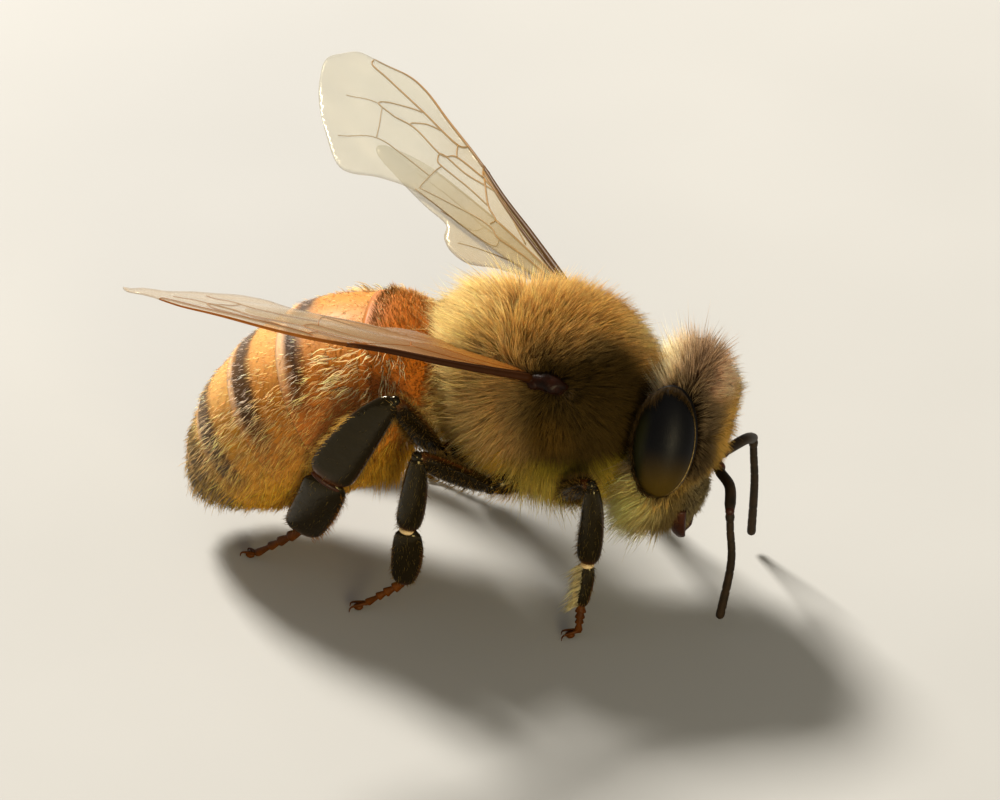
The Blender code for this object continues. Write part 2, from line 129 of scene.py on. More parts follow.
HEAD_TURN = turned(-HEAD_YAW, "Z") @ turned(HEAD_TILT, "Y") @ turned(-HEAD_ROLL, "X")


def head_place(points):
    """Points of the head's frame in the bee's."""
    return np.asarray(points, float) @ HEAD_TURN.T + HEAD_CENTRE


def head_local(points):
    return (np.asarray(points, float) - HEAD_CENTRE) @ HEAD_TURN


def place(points):
    x, y, z = np.asarray(points, float).reshape(-1, 3).T
    return (np.stack([y, -x, z], axis=1) + MIDDLE) * MM


def unit(vectors):
    vectors = np.asarray(vectors, float)
    return vectors / np.maximum(np.linalg.norm(vectors, axis=-1, keepdims=True), 1e-9)


def mixed(a, b, share):
    share = np.asarray(share, float)[..., None]
    return np.asarray(a) * (1 - share) + np.asarray(b) * share


def layered(colour, *layers):
    """A colour with others laid over it in turn, each by its own share."""
    for over, share in layers:
        colour = mixed(colour, over, share)
    return colour


def smoothstep(low, high, value):
    t = np.clip((value - low) / (high - low), 0, 1)
    return t * t * (3 - 2 * t)


def wander(points, scale, seed=0.0):
    """A smooth value between about -1 and 1 that wanders over space."""
    x, y, z = (np.asarray(points, float) * scale).T
    return (np.sin(x * 1.7 + 1.3 * np.sin(y * 1.9 + seed) + seed)
            + np.sin(y * 2.1 + 1.1 * np.sin(z * 1.6 + 2 * seed) + 1.7)
            + np.sin(z * 1.8 + 1.2 * np.sin(x * 2.2 + 3 * seed) + 0.6)) / 3


def smooth_path(points, steps):
    """Points along a Catmull-Rom curve through the given ones."""
    points = np.asarray(points, float)
    ends = np.vstack([points[0] * 2 - points[1], points, points[-1] * 2 - points[-2]])
    path = []
    for a, b, c, d in zip(ends, ends[1:], ends[2:], ends[3:]):
        for t in np.arange(steps) / steps:
            path.append(0.5 * (b * 2 + (c - a) * t + (a * 2 - b * 5 + c * 4 - d) * t ** 2
                               + (b * 3 - a - c * 3 + d) * t ** 3))
    return np.array(path + [points[-1]])


def joined(shapes):
    """One shape, as points and lists of faces, from several."""
    points, faces, first = [], [], 0
    for shape_points, shape_faces in shapes:
        points.append(shape_points)
        faces += [group + first for group in shape_faces]
        first += len(shape_points)
    return np.vstack(points), faces


def loft(rings, closed=False):
    """Quads between equal rings of points, with fans over both ends, or the last ring tied to the first."""
    rings = np.asarray(rings, float)
    count, sides = rings.shape[:2]
    index = np.arange(count * sides).reshape(count, sides)
    start = index if closed else index[:-1]
    after = np.roll(index, -1, axis=0)[:len(start)]
    quads = np.stack([start, np.roll(start, -1, 1), np.roll(after, -1, 1), after], axis=-1).reshape(-1, 4)
    points = rings.reshape(-1, 3)
    if closed:
        return points, [quads]
    middles = np.array([rings[0].mean(0), rings[-1].mean(0)])
    first, last = index[0], index[-1]
    fans = [np.stack([np.roll(first, -1), first, np.full(sides, len(points))], axis=-1),
            np.stack([last, np.roll(last, -1), np.full(sides, len(points) + 1)], axis=-1)]
    return np.vstack([points, middles]), [quads, *fans]


def sweep(path, widths, thicks=None, wide=(0.0, 0.0, 1.0), sides=10):
    """A rod along a path, with oval sections: half widths along wide, half thicknesses across it."""
    path = np.asarray(path, float)
    widths = np.broadcast_to(np.asarray(widths, float), len(path))
    thicks = widths if thicks is None else np.broadcast_to(np.asarray(thicks, float), len(path))
    along = unit(np.gradient(path, axis=0))
    flat = unit(np.cross(along, np.asarray(wide, float)))
    across = np.cross(flat, along)
    turn = np.arange(sides) * TAU / sides
    rings = (path[:, None] + across[:, None] * (widths[:, None] * np.cos(turn))[..., None]
             + flat[:, None] * (thicks[:, None] * np.sin(turn))[..., None])
    return loft(rings)


def ellipsoid(centre, size, turn=None, segments=32, rings=20):
    latitude = np.linspace(0, math.pi, rings + 1)[1:-1]
    turn_round = np.arange(segments) * TAU / segments
    points = np.stack([np.outer(np.sin(latitude), np.cos(turn_round)),
                       np.outer(np.sin(latitude), np.sin(turn_round)),
                       np.outer(np.cos(latitude), np.ones(segments))], axis=-1)
    points, faces = loft(points)
    points[-2:] = (0, 0, 1), (0, 0, -1)
    points = points * np.asarray(size)
    if turn is not None:
        points = points @ np.asarray(turn).T
    return points + np.asarray(centre), faces


def ball(centre, radius):
    return ellipsoid(centre, (radius, radius, radius), None, 18, 12)


def fused(shapes, voxel, smoothing):
    """One skin over shapes that run into each other, with the joins smoothed."""
    points, faces = joined(shapes)
    mesh = raw_mesh("fused", points, faces)
    fix_normals(mesh)
    holder = bpy.data.objects.new("fused", mesh)
    bpy.context.scene.collection.objects.link(holder)
    remesh = holder.modifiers.new("remesh", "REMESH")
    remesh.mode = "VOXEL"
    remesh.voxel_size = voxel
    smooth = holder.modifiers.new("smooth", "SMOOTH")
    smooth.factor = 0.5
    smooth.iterations = smoothing
    result = bpy.data.meshes.new_from_object(holder.evaluated_get(bpy.context.evaluated_depsgraph_get()))
    bpy.data.objects.remove(holder, do_unlink=True)
    points = np.empty(len(result.vertices) * 3)
    result.vertices.foreach_get("co", points)
    corners = np.empty(len(result.loops), int)
    result.loops.foreach_get("vertex_index", corners)
    sizes = np.empty(len(result.polygons), int)
    result.polygons.foreach_get("loop_total", sizes)
    starts = np.cumsum(sizes) - sizes
    faces = [corners[starts[sizes == n][:, None] + np.arange(n)] for n in (3, 4) if (sizes == n).any()]
    return points.reshape(-1, 3), faces


def triangles(faces):
    return np.vstack([group if group.shape[1] == 3 else np.vstack([group[:, :3], group[:, [0, 2, 3]]])
                      for group in faces])


# ---------------------------------------------------------------- meshes

def raw_mesh(name, points, faces):
    mesh = bpy.data.meshes.new(name)
    mesh.vertices.add(len(points))
    mesh.vertices.foreach_set("co", np.asarray(points, np.float32).ravel())
    corners = np.concatenate([group.ravel() for group in faces])
    sizes = np.concatenate([np.full(len(group), group.shape[1]) for group in faces])
    mesh.loops.add(len(corners))
    mesh.loops.foreach_set("vertex_index", corners.astype(np.int32))
    mesh.polygons.add(len(sizes))
    mesh.polygons.foreach_set("loop_start", (np.cumsum(sizes) - sizes).astype(np.int32))
    mesh.update(calc_edges=True)
    return mesh


def fix_normals(mesh):
    bm = bmesh.new()
    bm.from_mesh(mesh)
    bmesh.ops.recalc_face_normals(bm, faces=bm.faces)
    bm.to_mesh(mesh)
    bm.free()


def set_tint(mesh, colours):
    tint = mesh.attributes.new("tint", "FLOAT_COLOR", "POINT")
    rgba = np.ones((len(mesh.vertices), 4), np.float32)
    rgba[:, :3] = colours
    tint.data.foreach_set("color", rgba.ravel())


def add_piece(name, shape, material, nodes=(), tint=None, outward=True):
    """A closed piece, drawn in the bee's frame, that rides on the root and stands for some CAD nodes."""
    points, faces = shape
    mesh = raw_mesh(name, place(points), faces)
    if outward:
        fix_normals(mesh)
    mesh.shade_smooth()
    mesh.materials.append(material)
    if tint is not None:
        set_tint(mesh, tint)
    piece = bpy.data.objects.new(name, mesh)
    bpy.context.scene.collection.objects.link(piece)
    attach(piece, "root")
    if nodes:
        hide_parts(*nodes)
    return piece


# ---------------------------------------------------------------- materials

class Finish:
    """A Principled material whose colour, roughness and bump come from small node chains."""

    def __init__(self, name, **sockets):
        self.material = bpy.data.materials.new(name)
        self.material.use_nodes = True
        self.tree = self.material.node_tree
        self.shader = self.tree.nodes["Principled BSDF"]
        for socket, value in sockets.items():
            self.set(self.shader, socket.replace("_", " "), value)
        self.where = self.node("ShaderNodeTexCoord").outputs["Object"]

    def set(self, node, socket, value):
        if isinstance(value, bpy.types.NodeSocket):
            self.tree.links.new(value, node.inputs[socket])
        elif isinstance(value, (tuple, list, np.ndarray)) and len(value) == 3:
            target = node.inputs[socket]
            target.default_value = (*value, 1.0) if len(target.default_value) == 4 else tuple(value)
        else:
            node.inputs[socket].default_value = value

    def node(self, kind, settings=(), **sockets):
        made = self.tree.nodes.new(kind)
        for name, value in dict(settings).items():
            setattr(made, name, value)
        for socket, value in sockets.items():
            self.set(made, socket.replace("_", " "), value)
        return made

    def noise(self, per_mm, detail=3.0):
        return self.node("ShaderNodeTexNoise", Vector=self.where, Scale=per_mm / MM, Detail=detail,
                         Roughness=0.6).outputs["Fac"]

    def cells(self, per_mm, feature="F1"):
        return self.node("ShaderNodeTexVoronoi", {"feature": feature}, Vector=self.where,
                         Scale=per_mm / MM).outputs["Distance"]

    def ramp(self, value, *stops):
        ramp = self.node("ShaderNodeValToRGB", Fac=value)
        elements = ramp.color_ramp.elements
        while len(elements) < len(stops):
            elements.new(0.5)
        for element, (at, colour) in zip(elements, stops):
            element.position = at
            element.color = (*colour, 1.0) if np.ndim(colour) else (colour, colour, colour, 1.0)
        return ramp.outputs["Color"]

    def remap(self, value, low, high):
        return self.node("ShaderNodeMapRange", Value=value, To_Min=low, To_Max=high).outputs["Result"]

    def blend(self, share, a, b, kind="MIX"):
        mix = self.node("ShaderNodeMix", {"data_type": "RGBA", "blend_type": kind})
        for socket, value in ((0, share), (6, a), (7, b)):
            self.set(mix, socket, value)
        return mix.outputs[2]

    def tint(self):
        return self.node("ShaderNodeAttribute", {"attribute_name": "tint"}).outputs["Color"]

    def bump(self, height, depth_mm, strength=1.0, before=None):
        bump = self.node("ShaderNodeBump", Height=height, Distance=depth_mm * MM, Strength=strength)
        if before is not None:
            self.set(bump, "Normal", before)
        return bump.outputs["Normal"]

    def colour(self, value):
        self.set(self.shader, "Base Color", value)

    def mottled(self, per_mm, low, high, detail=3.0):
        """The mesh's own tint, lighter and darker by a noise; it becomes the base colour."""
        fleck = self.remap(self.noise(per_mm, detail), low, high)
        value = self.blend(1.0, self.tint(), fleck, "MULTIPLY")
        self.colour(value)
        return value

    def roughness(self, value):
        self.set(self.shader, "Roughness", value)

    def normal(self, value):
        self.set(self.shader, "Normal", value)

    def let_light_through(self, share, colour):
        """Mix in light that shines through from behind, as in hair and thin shell."""
        glow = self.node("ShaderNodeBsdfTranslucent", Color=colour)
        mix = self.node("ShaderNodeMixShader", Fac=share)
        self.tree.links.new(self.shader.outputs[0], mix.inputs[1])
        self.tree.links.new(glow.outputs[0], mix.inputs[2])
        self.tree.links.new(mix.outputs[0], self.tree.nodes["Material Output"].inputs["Surface"])


def fur_finish():
    fur = Finish("fur", Specular_IOR_Level=0.12)
    colour = fur.mottled(9.0, 0.72, 1.25)
    fur.roughness(fur.remap(fur.noise(25.0), 0.45, 0.7))
    fur.let_light_through(0.6, colour)
    return fur.material


def skin_finish():
    skin = Finish("cuticle", Specular_IOR_Level=0.08)
    skin.mottled(6.0, 0.6, 1.3)
    skin.roughness(skin.remap(skin.noise(12.0), 0.35, 0.6))
    pits = skin.bump(skin.cells(22.0), 0.012, 0.5)
    skin.normal(skin.bump(skin.noise(10.0), 0.02, 0.4, pits))
    return skin.material


def plate_finish():
    plate = Finish("amber_plate", Specular_IOR_Level=0.24, Coat_Weight=0.05, Coat_Roughness=0.25,
                   Subsurface_Weight=0.1, Subsurface_Radius=(0.35 * MM, 0.15 * MM, 0.06 * MM),
                   Subsurface_Scale=1.0)
    plate.mottled(3.0, 0.78, 1.2, 4.0)
    pale = plate.blend(0.25, plate.tint(), plate.noise(8.0))
    plate.roughness(plate.ramp(pale, (0.05, 0.2), (0.25, 0.58)))
    scales = plate.bump(plate.cells(30.0), 0.006, 0.5)
    plate.normal(plate.bump(plate.noise(18.0), 0.01, 0.35, scales))
    return plate.material


def shell_finish(name, dark, light, rough, coat, specular):
    shell = Finish(name, Specular_IOR_Level=specular, Coat_Weight=coat, Coat_Roughness=0.15)
    shell.colour(shell.ramp(shell.noise(4.0), (0.3, dark), (0.75, light)))
    shell.roughness(shell.remap(shell.noise(14.0), *rough))
    pits = shell.bump(shell.cells(28.0), 0.01, 0.6)
    shell.normal(shell.bump(shell.noise(12.0), 0.012, 0.35, pits))
    return shell.material


def leg_finish():
    """Polished near-black shell whose colour is carried by the mesh; its glints are warm."""
    shell = Finish("leg_shell", Specular_IOR_Level=0.2, Specular_Tint=(1.0, 0.82, 0.4), Coat_Weight=0.06,
                   Coat_Roughness=0.1)
    shell.mottled(5.0, 0.6, 1.4)
    shell.roughness(shell.remap(shell.noise(14.0), 0.1, 0.2))
    pits = shell.bump(shell.cells(20.0), 0.008, 0.3)
    shell.normal(shell.bump(shell.noise(3.5), 0.035, 0.5, pits))
    return shell.material


def eye_finish():
    eye = Finish("compound_eye", Specular_IOR_Level=0.06, Coat_Weight=0.02, Coat_Roughness=0.3)
    eye.mottled(1.6, 0.7, 1.3)
    eye.roughness(eye.remap(eye.noise(6.0), 0.32, 0.45))
    facets = eye.ramp(eye.cells(34.0, "DISTANCE_TO_EDGE"), (0.0, 0.0), (0.35, 1.0))
    eye.normal(eye.bump(facets, 0.004, 0.45))
    return eye.material


def antenna_finish():
    matt = Finish("antenna_shell", Specular_IOR_Level=0.15)
    matt.colour(matt.ramp(matt.noise(5.0), (0.3, (0.008, 0.006, 0.003)), (0.8, (0.03, 0.016, 0.006))))
    matt.roughness(matt.remap(matt.noise(20.0), 0.45, 0.65))
    matt.normal(matt.bump(matt.cells(60.0), 0.006, 0.6))
    return matt.material


def membrane_finish():
    clear = Finish("wing_membrane", Specular_IOR_Level=0.25, Coat_Weight=0.1, Coat_Roughness=0.12,
                   Thin_Film_Thickness=380.0, Thin_Film_IOR=1.4)
    clear.mottled(0.9, 0.85, 1.15)
    clear.roughness(clear.remap(clear.noise(6.0), 0.14, 0.28))
    clear.normal(clear.bump(clear.cells(16.0), 0.004, 0.35))
    density = clear.blend(0.12, clear.tint(), clear.noise(1.6))
    clear.set(clear.shader, "Alpha", clear.ramp(density, (0.1, 0.85), (0.4, 0.38)))
    return clear.material


def vein_finish():
    vein = Finish("wing_vein", Specular_IOR_Level=0.1)
    vein.mottled(8.0, 0.75, 1.3)
    vein.roughness(vein.remap(vein.noise(15.0), 0.3, 0.5))
    vein.normal(vein.bump(vein.noise(20.0), 0.006, 0.4))
    return vein.material


def floor_finish():
    floor = Finish("floor", Specular_IOR_Level=0.2)
    floor.colour(floor.ramp(floor.noise(0.05), (0.3, (0.36, 0.36, 0.355)), (0.7, (0.4, 0.4, 0.395))))
    floor.roughness(floor.remap(floor.noise(0.2), 0.7, 0.85))
    return floor.material


FUR = fur_finish()
SKIN = skin_finish()
PLATE = plate_finish()
DARK = leg_finish()
MAROON = shell_finish("maroon_shell", (0.012, 0.004, 0.002), (0.06, 0.014, 0.003), (0.35, 0.5), 0.04, 0.15)
RED = shell_finish("foot_shell", (0.035, 0.01, 0.001), (0.11, 0.03, 0.002), (0.35, 0.5), 0.02, 0.06)
SCALE = shell_finish("tegula_shell", (0.003, 0.0015, 0.001), (0.022, 0.005, 0.001), (0.3, 0.5), 0.03, 0.08)
PALE = shell_finish("joint_membrane", (0.42, 0.26, 0.1), (0.62, 0.46, 0.24), (0.4, 0.6), 0.1, 0.5)
RIDGE = shell_finish("eye_ridge", (0.2, 0.13, 0.04), (0.36, 0.25, 0.09), (0.4, 0.6), 0.05, 0.2)
EYE = eye_finish()
ANTENNA = antenna_finish()
MEMBRANE = membrane_finish()
VEIN = vein_finish()


# ---------------------------------------------------------------- coat

HAIR_SIDES = 3
SINK = 0.03                 # how deep a hair is rooted in the skin
PATCH = 0.003               # a hair's patch on its map
STRAYS = 0.1                # share of hairs that stand out longer than the rest
# How many hairs each part of the body's coat starts from; the legs' are with the legs
HAIR_COUNTS = {"thorax": 58000, "head": 25000, "eye_rim": 1300, "lashes": 45, "plates": 21500,
               "first_ring": 4500, "side_locks": 270, "front": 1800, "rump": 9000, "belly": 1500,
               "chest": 2200}


def scatter(rng, shape, count, weight=None):
    """Places and outward normals spread over a shape, more where weight is larger."""
    points, faces = shape
    tris = triangles(faces)
    a, b, c = (points[tris[:, k]] for k in range(3))
    cross = np.cross(b - a, c - a)
    if np.einsum("ij,ij->i", a - points.mean(0), cross).sum() < 0:
        cross = -cross
    normals = np.zeros_like(points)
    for k in range(3):
        np.add.at(normals, tris[:, k], cross)
    share = np.linalg.norm(cross, axis=1)
    if weight is not None:
        share = share * weight((a + b + c) / 3)
    total = np.cumsum(share)
    picks = np.searchsorted(total, (np.arange(count) + rng.random(count)) / count * total[-1])
    picks = np.minimum(picks, len(tris) - 1)
    u, v = rng.random((2, count, 1))
    fold = u + v > 1
    u, v = np.where(fold, 1 - u, u), np.where(fold, 1 - v, v)
    roots = a[picks] + (b - a)[picks] * u + (c - a)[picks] * v
    corner = [unit(normals)[tris[picks, k]] for k in range(3)]
    return roots, unit(corner[0] * (1 - u - v) + corner[1] * u + corner[2] * v)


def nearest(targets, points):
    """For each point, the number of the target nearest to it."""
    tree = kdtree.KDTree(len(targets))
    for number, target in enumerate(targets):
        tree.insert(Vector(target), number)
    tree.balance()
    return [tree.find(Vector(point))[1] for point in points]


def hairs(rng, roots, normals, lay, length, radius, lean, colours, tips, steps=2, clump=0.0, lead=40,
          wave=0.0, stray=0.3):
    """Tapered, bent hairs: they leave the skin at lean[0] from its normal and end at lean[1], in radians,
    towards lay, give or take stray. clump draws each hair towards the nearest of every lead-th hair, and
    wave swings it from side to side by that share of its length."""
    count = len(roots)
    lay, colours, tips = (np.broadcast_to(value, roots.shape) for value in (lay, colours, tips))
    lay = unit(lay - normals * np.einsum("ij,ij->i", lay, normals)[:, None])
    side = np.cross(normals, lay)
    astray = rng.normal(0, stray, (count, 1))
    lay = lay * np.cos(astray) + side * np.sin(astray)
    side = np.cross(normals, lay)
    lean_by = rng.normal(0, 0.13, count)
    length = np.broadcast_to(length, count) * np.clip(rng.normal(1, 0.2, count), 0.5, 1.5)
    length = np.where(rng.random(count) < STRAYS, length * 1.4, length)
    spine = [roots - normals * SINK]
    for step in range(steps):
        angle = (lean[0] + (lean[1] - lean[0]) * (step + 0.5) / steps + lean_by)[:, None]
        spine.append(spine[-1] + (normals * np.cos(angle) + lay * np.sin(angle))
                     * (length / steps)[:, None])
    spine = np.stack(spine, axis=1)
    if wave:
        beat = rng.uniform(0, TAU, (count, 1)) + np.arange(steps + 1) * 1.7
        swing = wave * length[:, None] * np.sin(beat) * np.arange(steps + 1) / steps
        spine += side[:, None] * swing[..., None]
    if clump:
        leaders = np.arange(0, count, lead)
        own = leaders[nearest(roots[leaders], roots)]
        pull = clump * (np.arange(steps + 1) / steps) ** 1.5
        spine += (spine[own] - spine) * (pull * rng.uniform(0.4, 1.3, (count, 1)))[..., None]
    share = np.arange(steps) / steps
    thick = np.broadcast_to(radius, count)[:, None] * (1 - 0.75 * share ** 1.3)
    up = unit(np.cross(unit(np.gradient(spine, axis=1))[:, :-1], side[:, None]))
    turn = np.arange(HAIR_SIDES) * TAU / HAIR_SIDES
    ring = (side[:, None, None] * np.cos(turn)[:, None] + up[:, :, None] * np.sin(turn)[:, None])
    rings = spine[:, :-1, None] + ring * thick[..., None, None]
    points = np.concatenate([rings.reshape(count, -1, 3), spine[:, -1:]], axis=1)
    shade = np.append(np.repeat(share, HAIR_SIDES), 1.0)[None, :, None]
    glow = rng.normal(1, 0.2, (count, 1, 1))
    tinted = (colours[:, None] * (1 - shade) + tips[:, None] * shade) * glow
    return {"points": points, "tint": np.clip(tinted, 0, 1), "roots": roots}


def hair_faces(steps):
    """Corners of one hair's faces, and where they lie on its patch."""
    faces, spots = [], []
    for step in range(steps):
        for k in range(HAIR_SIDES):
            a, b = step * HAIR_SIDES + k, step * HAIR_SIDES + (k + 1) % HAIR_SIDES
            low, high = step / steps, (step + 1) / steps
            left, right = k / HAIR_SIDES, (k + 1) / HAIR_SIDES
            if step + 1 < steps:
                c, d = b + HAIR_SIDES, a + HAIR_SIDES
                faces += [(a, b, c), (a, c, d)]
                spots += [((left, low), (right, low), (right, high)),
                          ((left, low), (right, high), (left, high))]
            else:
                faces.append((a, b, steps * HAIR_SIDES))
                spots.append(((left, low), (right, low), ((left + right) / 2, high)))
    faces.append((2, 1, 0))
    spots.append(((1.0, 0.0), (0.5, 0.0), (0.5, 0.3)))
    return np.array(faces), np.array(spots)


def add_coat(name, batches, unwrap, steps=2):
    """One piece of coat from batches of hairs. unwrap gives two numbers a root: its place on the skin's
    own shape laid flat."""
    points = np.concatenate([batch["points"] for batch in batches])
    points[..., 2] = np.maximum(points[..., 2], FLOOR)
    colours = np.concatenate([batch["tint"] for batch in batches])
    flat = np.concatenate([unwrap(batch["roots"]) for batch in batches])
    template, spots = hair_faces(steps)
    count, per_hair = points.shape[:2]
    faces = (template[None] + np.arange(count)[:, None, None] * per_hair).reshape(-1, 3)
    piece = add_piece(name, (points.reshape(-1, 3), [faces]), FUR,
                      tint=colours.reshape(-1, 3), outward=False)
    low, high = flat.min(0), flat.max(0)
    flat = (flat - low) / (high - low) * (1 - PATCH)
    corners = flat[:, None, None] + spots[None] * PATCH
    layer = piece.data.uv_layers.new(name="OFBake")
    layer.data.foreach_set("uv", corners.astype(np.float32).ravel())
    return piece


def globe(centre):
    """The unwrap of a round shape: turn about the vertical through its centre, and height over it."""
    def unwrap(roots):
        x, y, z = (roots - np.asarray(centre)).T
        return np.stack([np.arctan2(y, x), np.arctan2(z, np.hypot(x, y))], axis=1)
    return unwrap


# ---------------------------------------------------------------- head and thorax

def head_shape():
    """Skull with a bulging clypeus, upper lip and cheeks."""
    points, faces = ellipsoid((0, 0, 0), (1, 1, 1), segments=48, rings=32)
    x, y, z = points.T
    low = np.maximum(0, -z)
    points = np.stack([x * np.where(x > 0, HEAD_FACE, HEAD_BACK) * (1 - 0.35 * low),
                       y * HEAD_SIDE * (1 - 0.3 * low ** 1.4),
                       z * np.where(z > 0, HEAD_TOP, HEAD_CHIN)], axis=1)
    skull = (head_place(points), faces)
    clypeus = ellipsoid(head_place([(0.36, 0, -1.0)])[0], (0.34, 0.58, 0.62), HEAD_TURN, 24, 16)
    lip = ellipsoid(head_place([(0.4, 0, -1.62)])[0], (0.14, 0.34, 0.2), HEAD_TURN, 20, 12)
    return [skull, clypeus, lip]


def thorax_shape():
    """Scutum dome, the scutellum's ledge behind it, flanks, chest and the sloping rear wall."""
    return [ellipsoid((0.12, 0, 0.08), (1.68, 1.7, 1.68), segments=40, rings=28),
            ellipsoid((-1.2, 0, 1.05), (0.6, 1.0, 0.42), turned(-30, "Y"), 24, 16),
            ellipsoid((-0.8, 0, 0.0), (1.05, 1.5, 1.35), None, 28, 20),
            ellipsoid((0.2, 0, -0.75), (1.4, 1.35, 0.98), None, 28, 20),
            ellipsoid((1.35, 0, 0.1), (0.5, 1.15, 0.95), None, 24, 16)]


def link_shape(start, end, radius):
    path = np.linspace(start, end, 6)
    return sweep(path, radius, wide=(0, 1, 0), sides=20)


FACE = HEAD_TURN @ np.array((1.0, 0.0, 0.0))
RUMP = ((-1.7, 0.0, -0.55), (-2.75, 0.0, -0.48))
BODY = fused([*head_shape(), *thorax_shape(), link_shape(NECK_AT - FACE * 0.5, NECK_AT + FACE * 0.5, 0.5),
              link_shape(*RUMP, 0.34)], voxel=0.05, smoothing=5)


def is_head(points):
    return (points - NECK_AT) @ FACE > 0


def thorax_tint(points):
    """Gold above and cream round the rear wall; the front flanks are olive brown as painted shade, and the
    front of the top is cream as painted rim light.
    """
    x, y, z = points.T
    spots = 0.12 * wander(points, 2.6)
    # The darker disc on the scutum is partly real worn hair and partly painted shade.
    disc = smoothstep(1.45, 0.5, np.hypot(x - 0.35, np.abs(y) * 0.9) + spots) * smoothstep(0.7, 1.3, z)
    # Painted shade: the front flanks are darkened where light from above and behind misses them, less so
    # high on the far side.
    flank = (smoothstep(1.8, 1.15, z + spots) * smoothstep(-0.75, 0.1, x + spots)
             * smoothstep(0.15, 0.75, np.abs(y)))
    flank = flank * (1 - 0.85 * smoothstep(0.1, 0.5, y) * smoothstep(0.7, 1.2, z))
    patch = smoothstep(0.55, 0.15, np.hypot(x - 0.25, z - 0.1) + spots)
    rear = smoothstep(-0.6, -1.4, x + spots)
    # Below, pale straw hair with a yellow-green cast that is painted light reflected from beneath.
    under = smoothstep(-0.45, -1.05, z + spots)
    # Painted rim light: the front of the top, most on the far side, is cream where light from behind would
    # catch it.
    rim_light_collar = smoothstep(0.9, 1.4, x) * smoothstep(0.75, 1.15, z) * smoothstep(-0.6, 0.1, y)
    return layered(GOLD, (OLIVE * 2.0, disc * 0.05), (OLIVE * 0.3, flank * 0.93),
                   ((0.34, 0.18, 0.025), patch * 0.5), (CREAM * 1.15, rear * 0.9),
                   (STRAW * (1.5, 2.0, 1.6), under * 0.9), (CREAM * 1.15, rim_light_collar * 0.85))


def head_tint(points):
    """Cream at the back of the crown, brown then pinkish tan before it, gold round the face, olive brown
    by the eyes, and a straw beard whose yellow cast is painted light reflected from below."""
    x, y, z = head_local(points).T
    spots = 0.1 * wander(points, 3.1, 1.0)
    middle = smoothstep(0.3, 0.08, np.abs(x + 0.1 + spots)) * smoothstep(0.5, 1.1, z)
    face = smoothstep(1.4, 0.95, z + spots)
    by_eye = (smoothstep(0.35, 0.85, np.abs(y) + spots) * smoothstep(-0.4, 0.1, z)
              * smoothstep(1.35, 1.0, z))
    cheek = smoothstep(-0.3, -0.8, z + spots)
    shell = smoothstep(0.0, -0.6, z + spots) * smoothstep(0.3, 0.55, x)
    back = smoothstep(-0.1, -0.4, x + spots)
    temple = smoothstep(0.6, 1.0, np.abs(y) + spots) * smoothstep(-0.6, 0.0, z)
    # Painted reflected light: the beard's yellow cast stands in for light thrown up from below.
    beard = smoothstep(-0.2, -0.9, z + spots) * smoothstep(0.15, -0.15, x + spots)
    return layered((1.0, 0.68, 0.5), ((0.1, 0.045, 0.016), middle * 0.85), ((0.66, 0.42, 0.09), face),
                   ((0.09, 0.055, 0.018), by_eye * 0.85), ((0.12, 0.09, 0.025), cheek * 0.85),
                   ((0.28, 0.23, 0.12), shell), ((0.86, 0.74, 0.5), back),
                   ((0.08, 0.046, 0.014), temple * 0.9), ((1.0, 0.84, 0.38), beard * 0.98))


def body_tint(points):
    return np.where(is_head(points)[:, None], head_tint(points), thorax_tint(points))


def add_body():
    """The bare skin is dark, with a little of the coat's colour."""
    tint = mixed(BROWN * 0.25, body_tint(BODY[0]), 0.12)
    add_piece("body_skin", BODY, SKIN, ("head", "neck", "thorax", "petiole"), tint=tint)


def add_thorax_coat():
    rng = np.random.default_rng(11)

    def weight(points):
        return ~is_head(points) & (points[:, 0] > -2.1)

    roots, normals = scatter(rng, BODY, HAIR_COUNTS["thorax"], weight)
    x, y, z = roots.T
    side = np.sign(y)
    rear = smoothstep(-0.35, -1.2, x)
    over = np.stack([0.9 - 1.9 * rear, 0 * y, 0.45 + 0 * z], axis=1)
    from_wing = roots - np.stack([0 * x + 0.3, side * 1.5, 0 * x + 1.0], axis=1)
    flank = smoothstep(1.35, 0.7, z) * smoothstep(0.3, 0.9, np.abs(y))
    lay = unit(over) * (1 - flank)[:, None] + unit(from_wing) * flank[:, None]
    under = smoothstep(-0.6, -1.3, z)
    # Painted shade on the front flanks, as in thorax_tint: there the hairs are shorter and their tips are
    # hardly paled.
    dark = (smoothstep(-0.8, 0.1, x) * smoothstep(1.75, 1.1, z) * (1 - under)
            * smoothstep(0.1, 0.6, np.abs(y)))
    # The scutum's disc, partly real worn hair and partly painted shade: its hairs are shorter and less pale
    # at the tips.
    disc = smoothstep(1.2, 0.4, np.hypot(x - 0.4, y)) * smoothstep(1.0, 1.4, z)
    length = 0.58 + 0.2 * rear + 0.3 * under - 0.16 * dark - 0.1 * disc
    length = length * (1 + 0.15 * wander(roots, 3.0, 2.0))
    tint = thorax_tint(roots)
    pale = mixed(tint, CREAM * 1.1, 0.5 - 0.48 * dark - 0.12 * disc) * 1.15
    lean = (0.25 + 0.1 * flank, 0.75 + 0.1 * rear + 0.35 * flank)
    made = hairs(rng, roots, normals, lay, length, 0.0068, lean, tint * 0.5, pale, clump=0.4, lead=14,
                 stray=0.25)
    order = (y > 0) * 2 + (x > np.median(x))
    for number, name in enumerate(("right_rear", "right_front", "left_rear", "left_front")):
        chosen = order == number
        batch = {key: value[chosen] for key, value in made.items()}
        add_coat("thorax_coat_" + name, [batch], globe((0, 0, 0)))


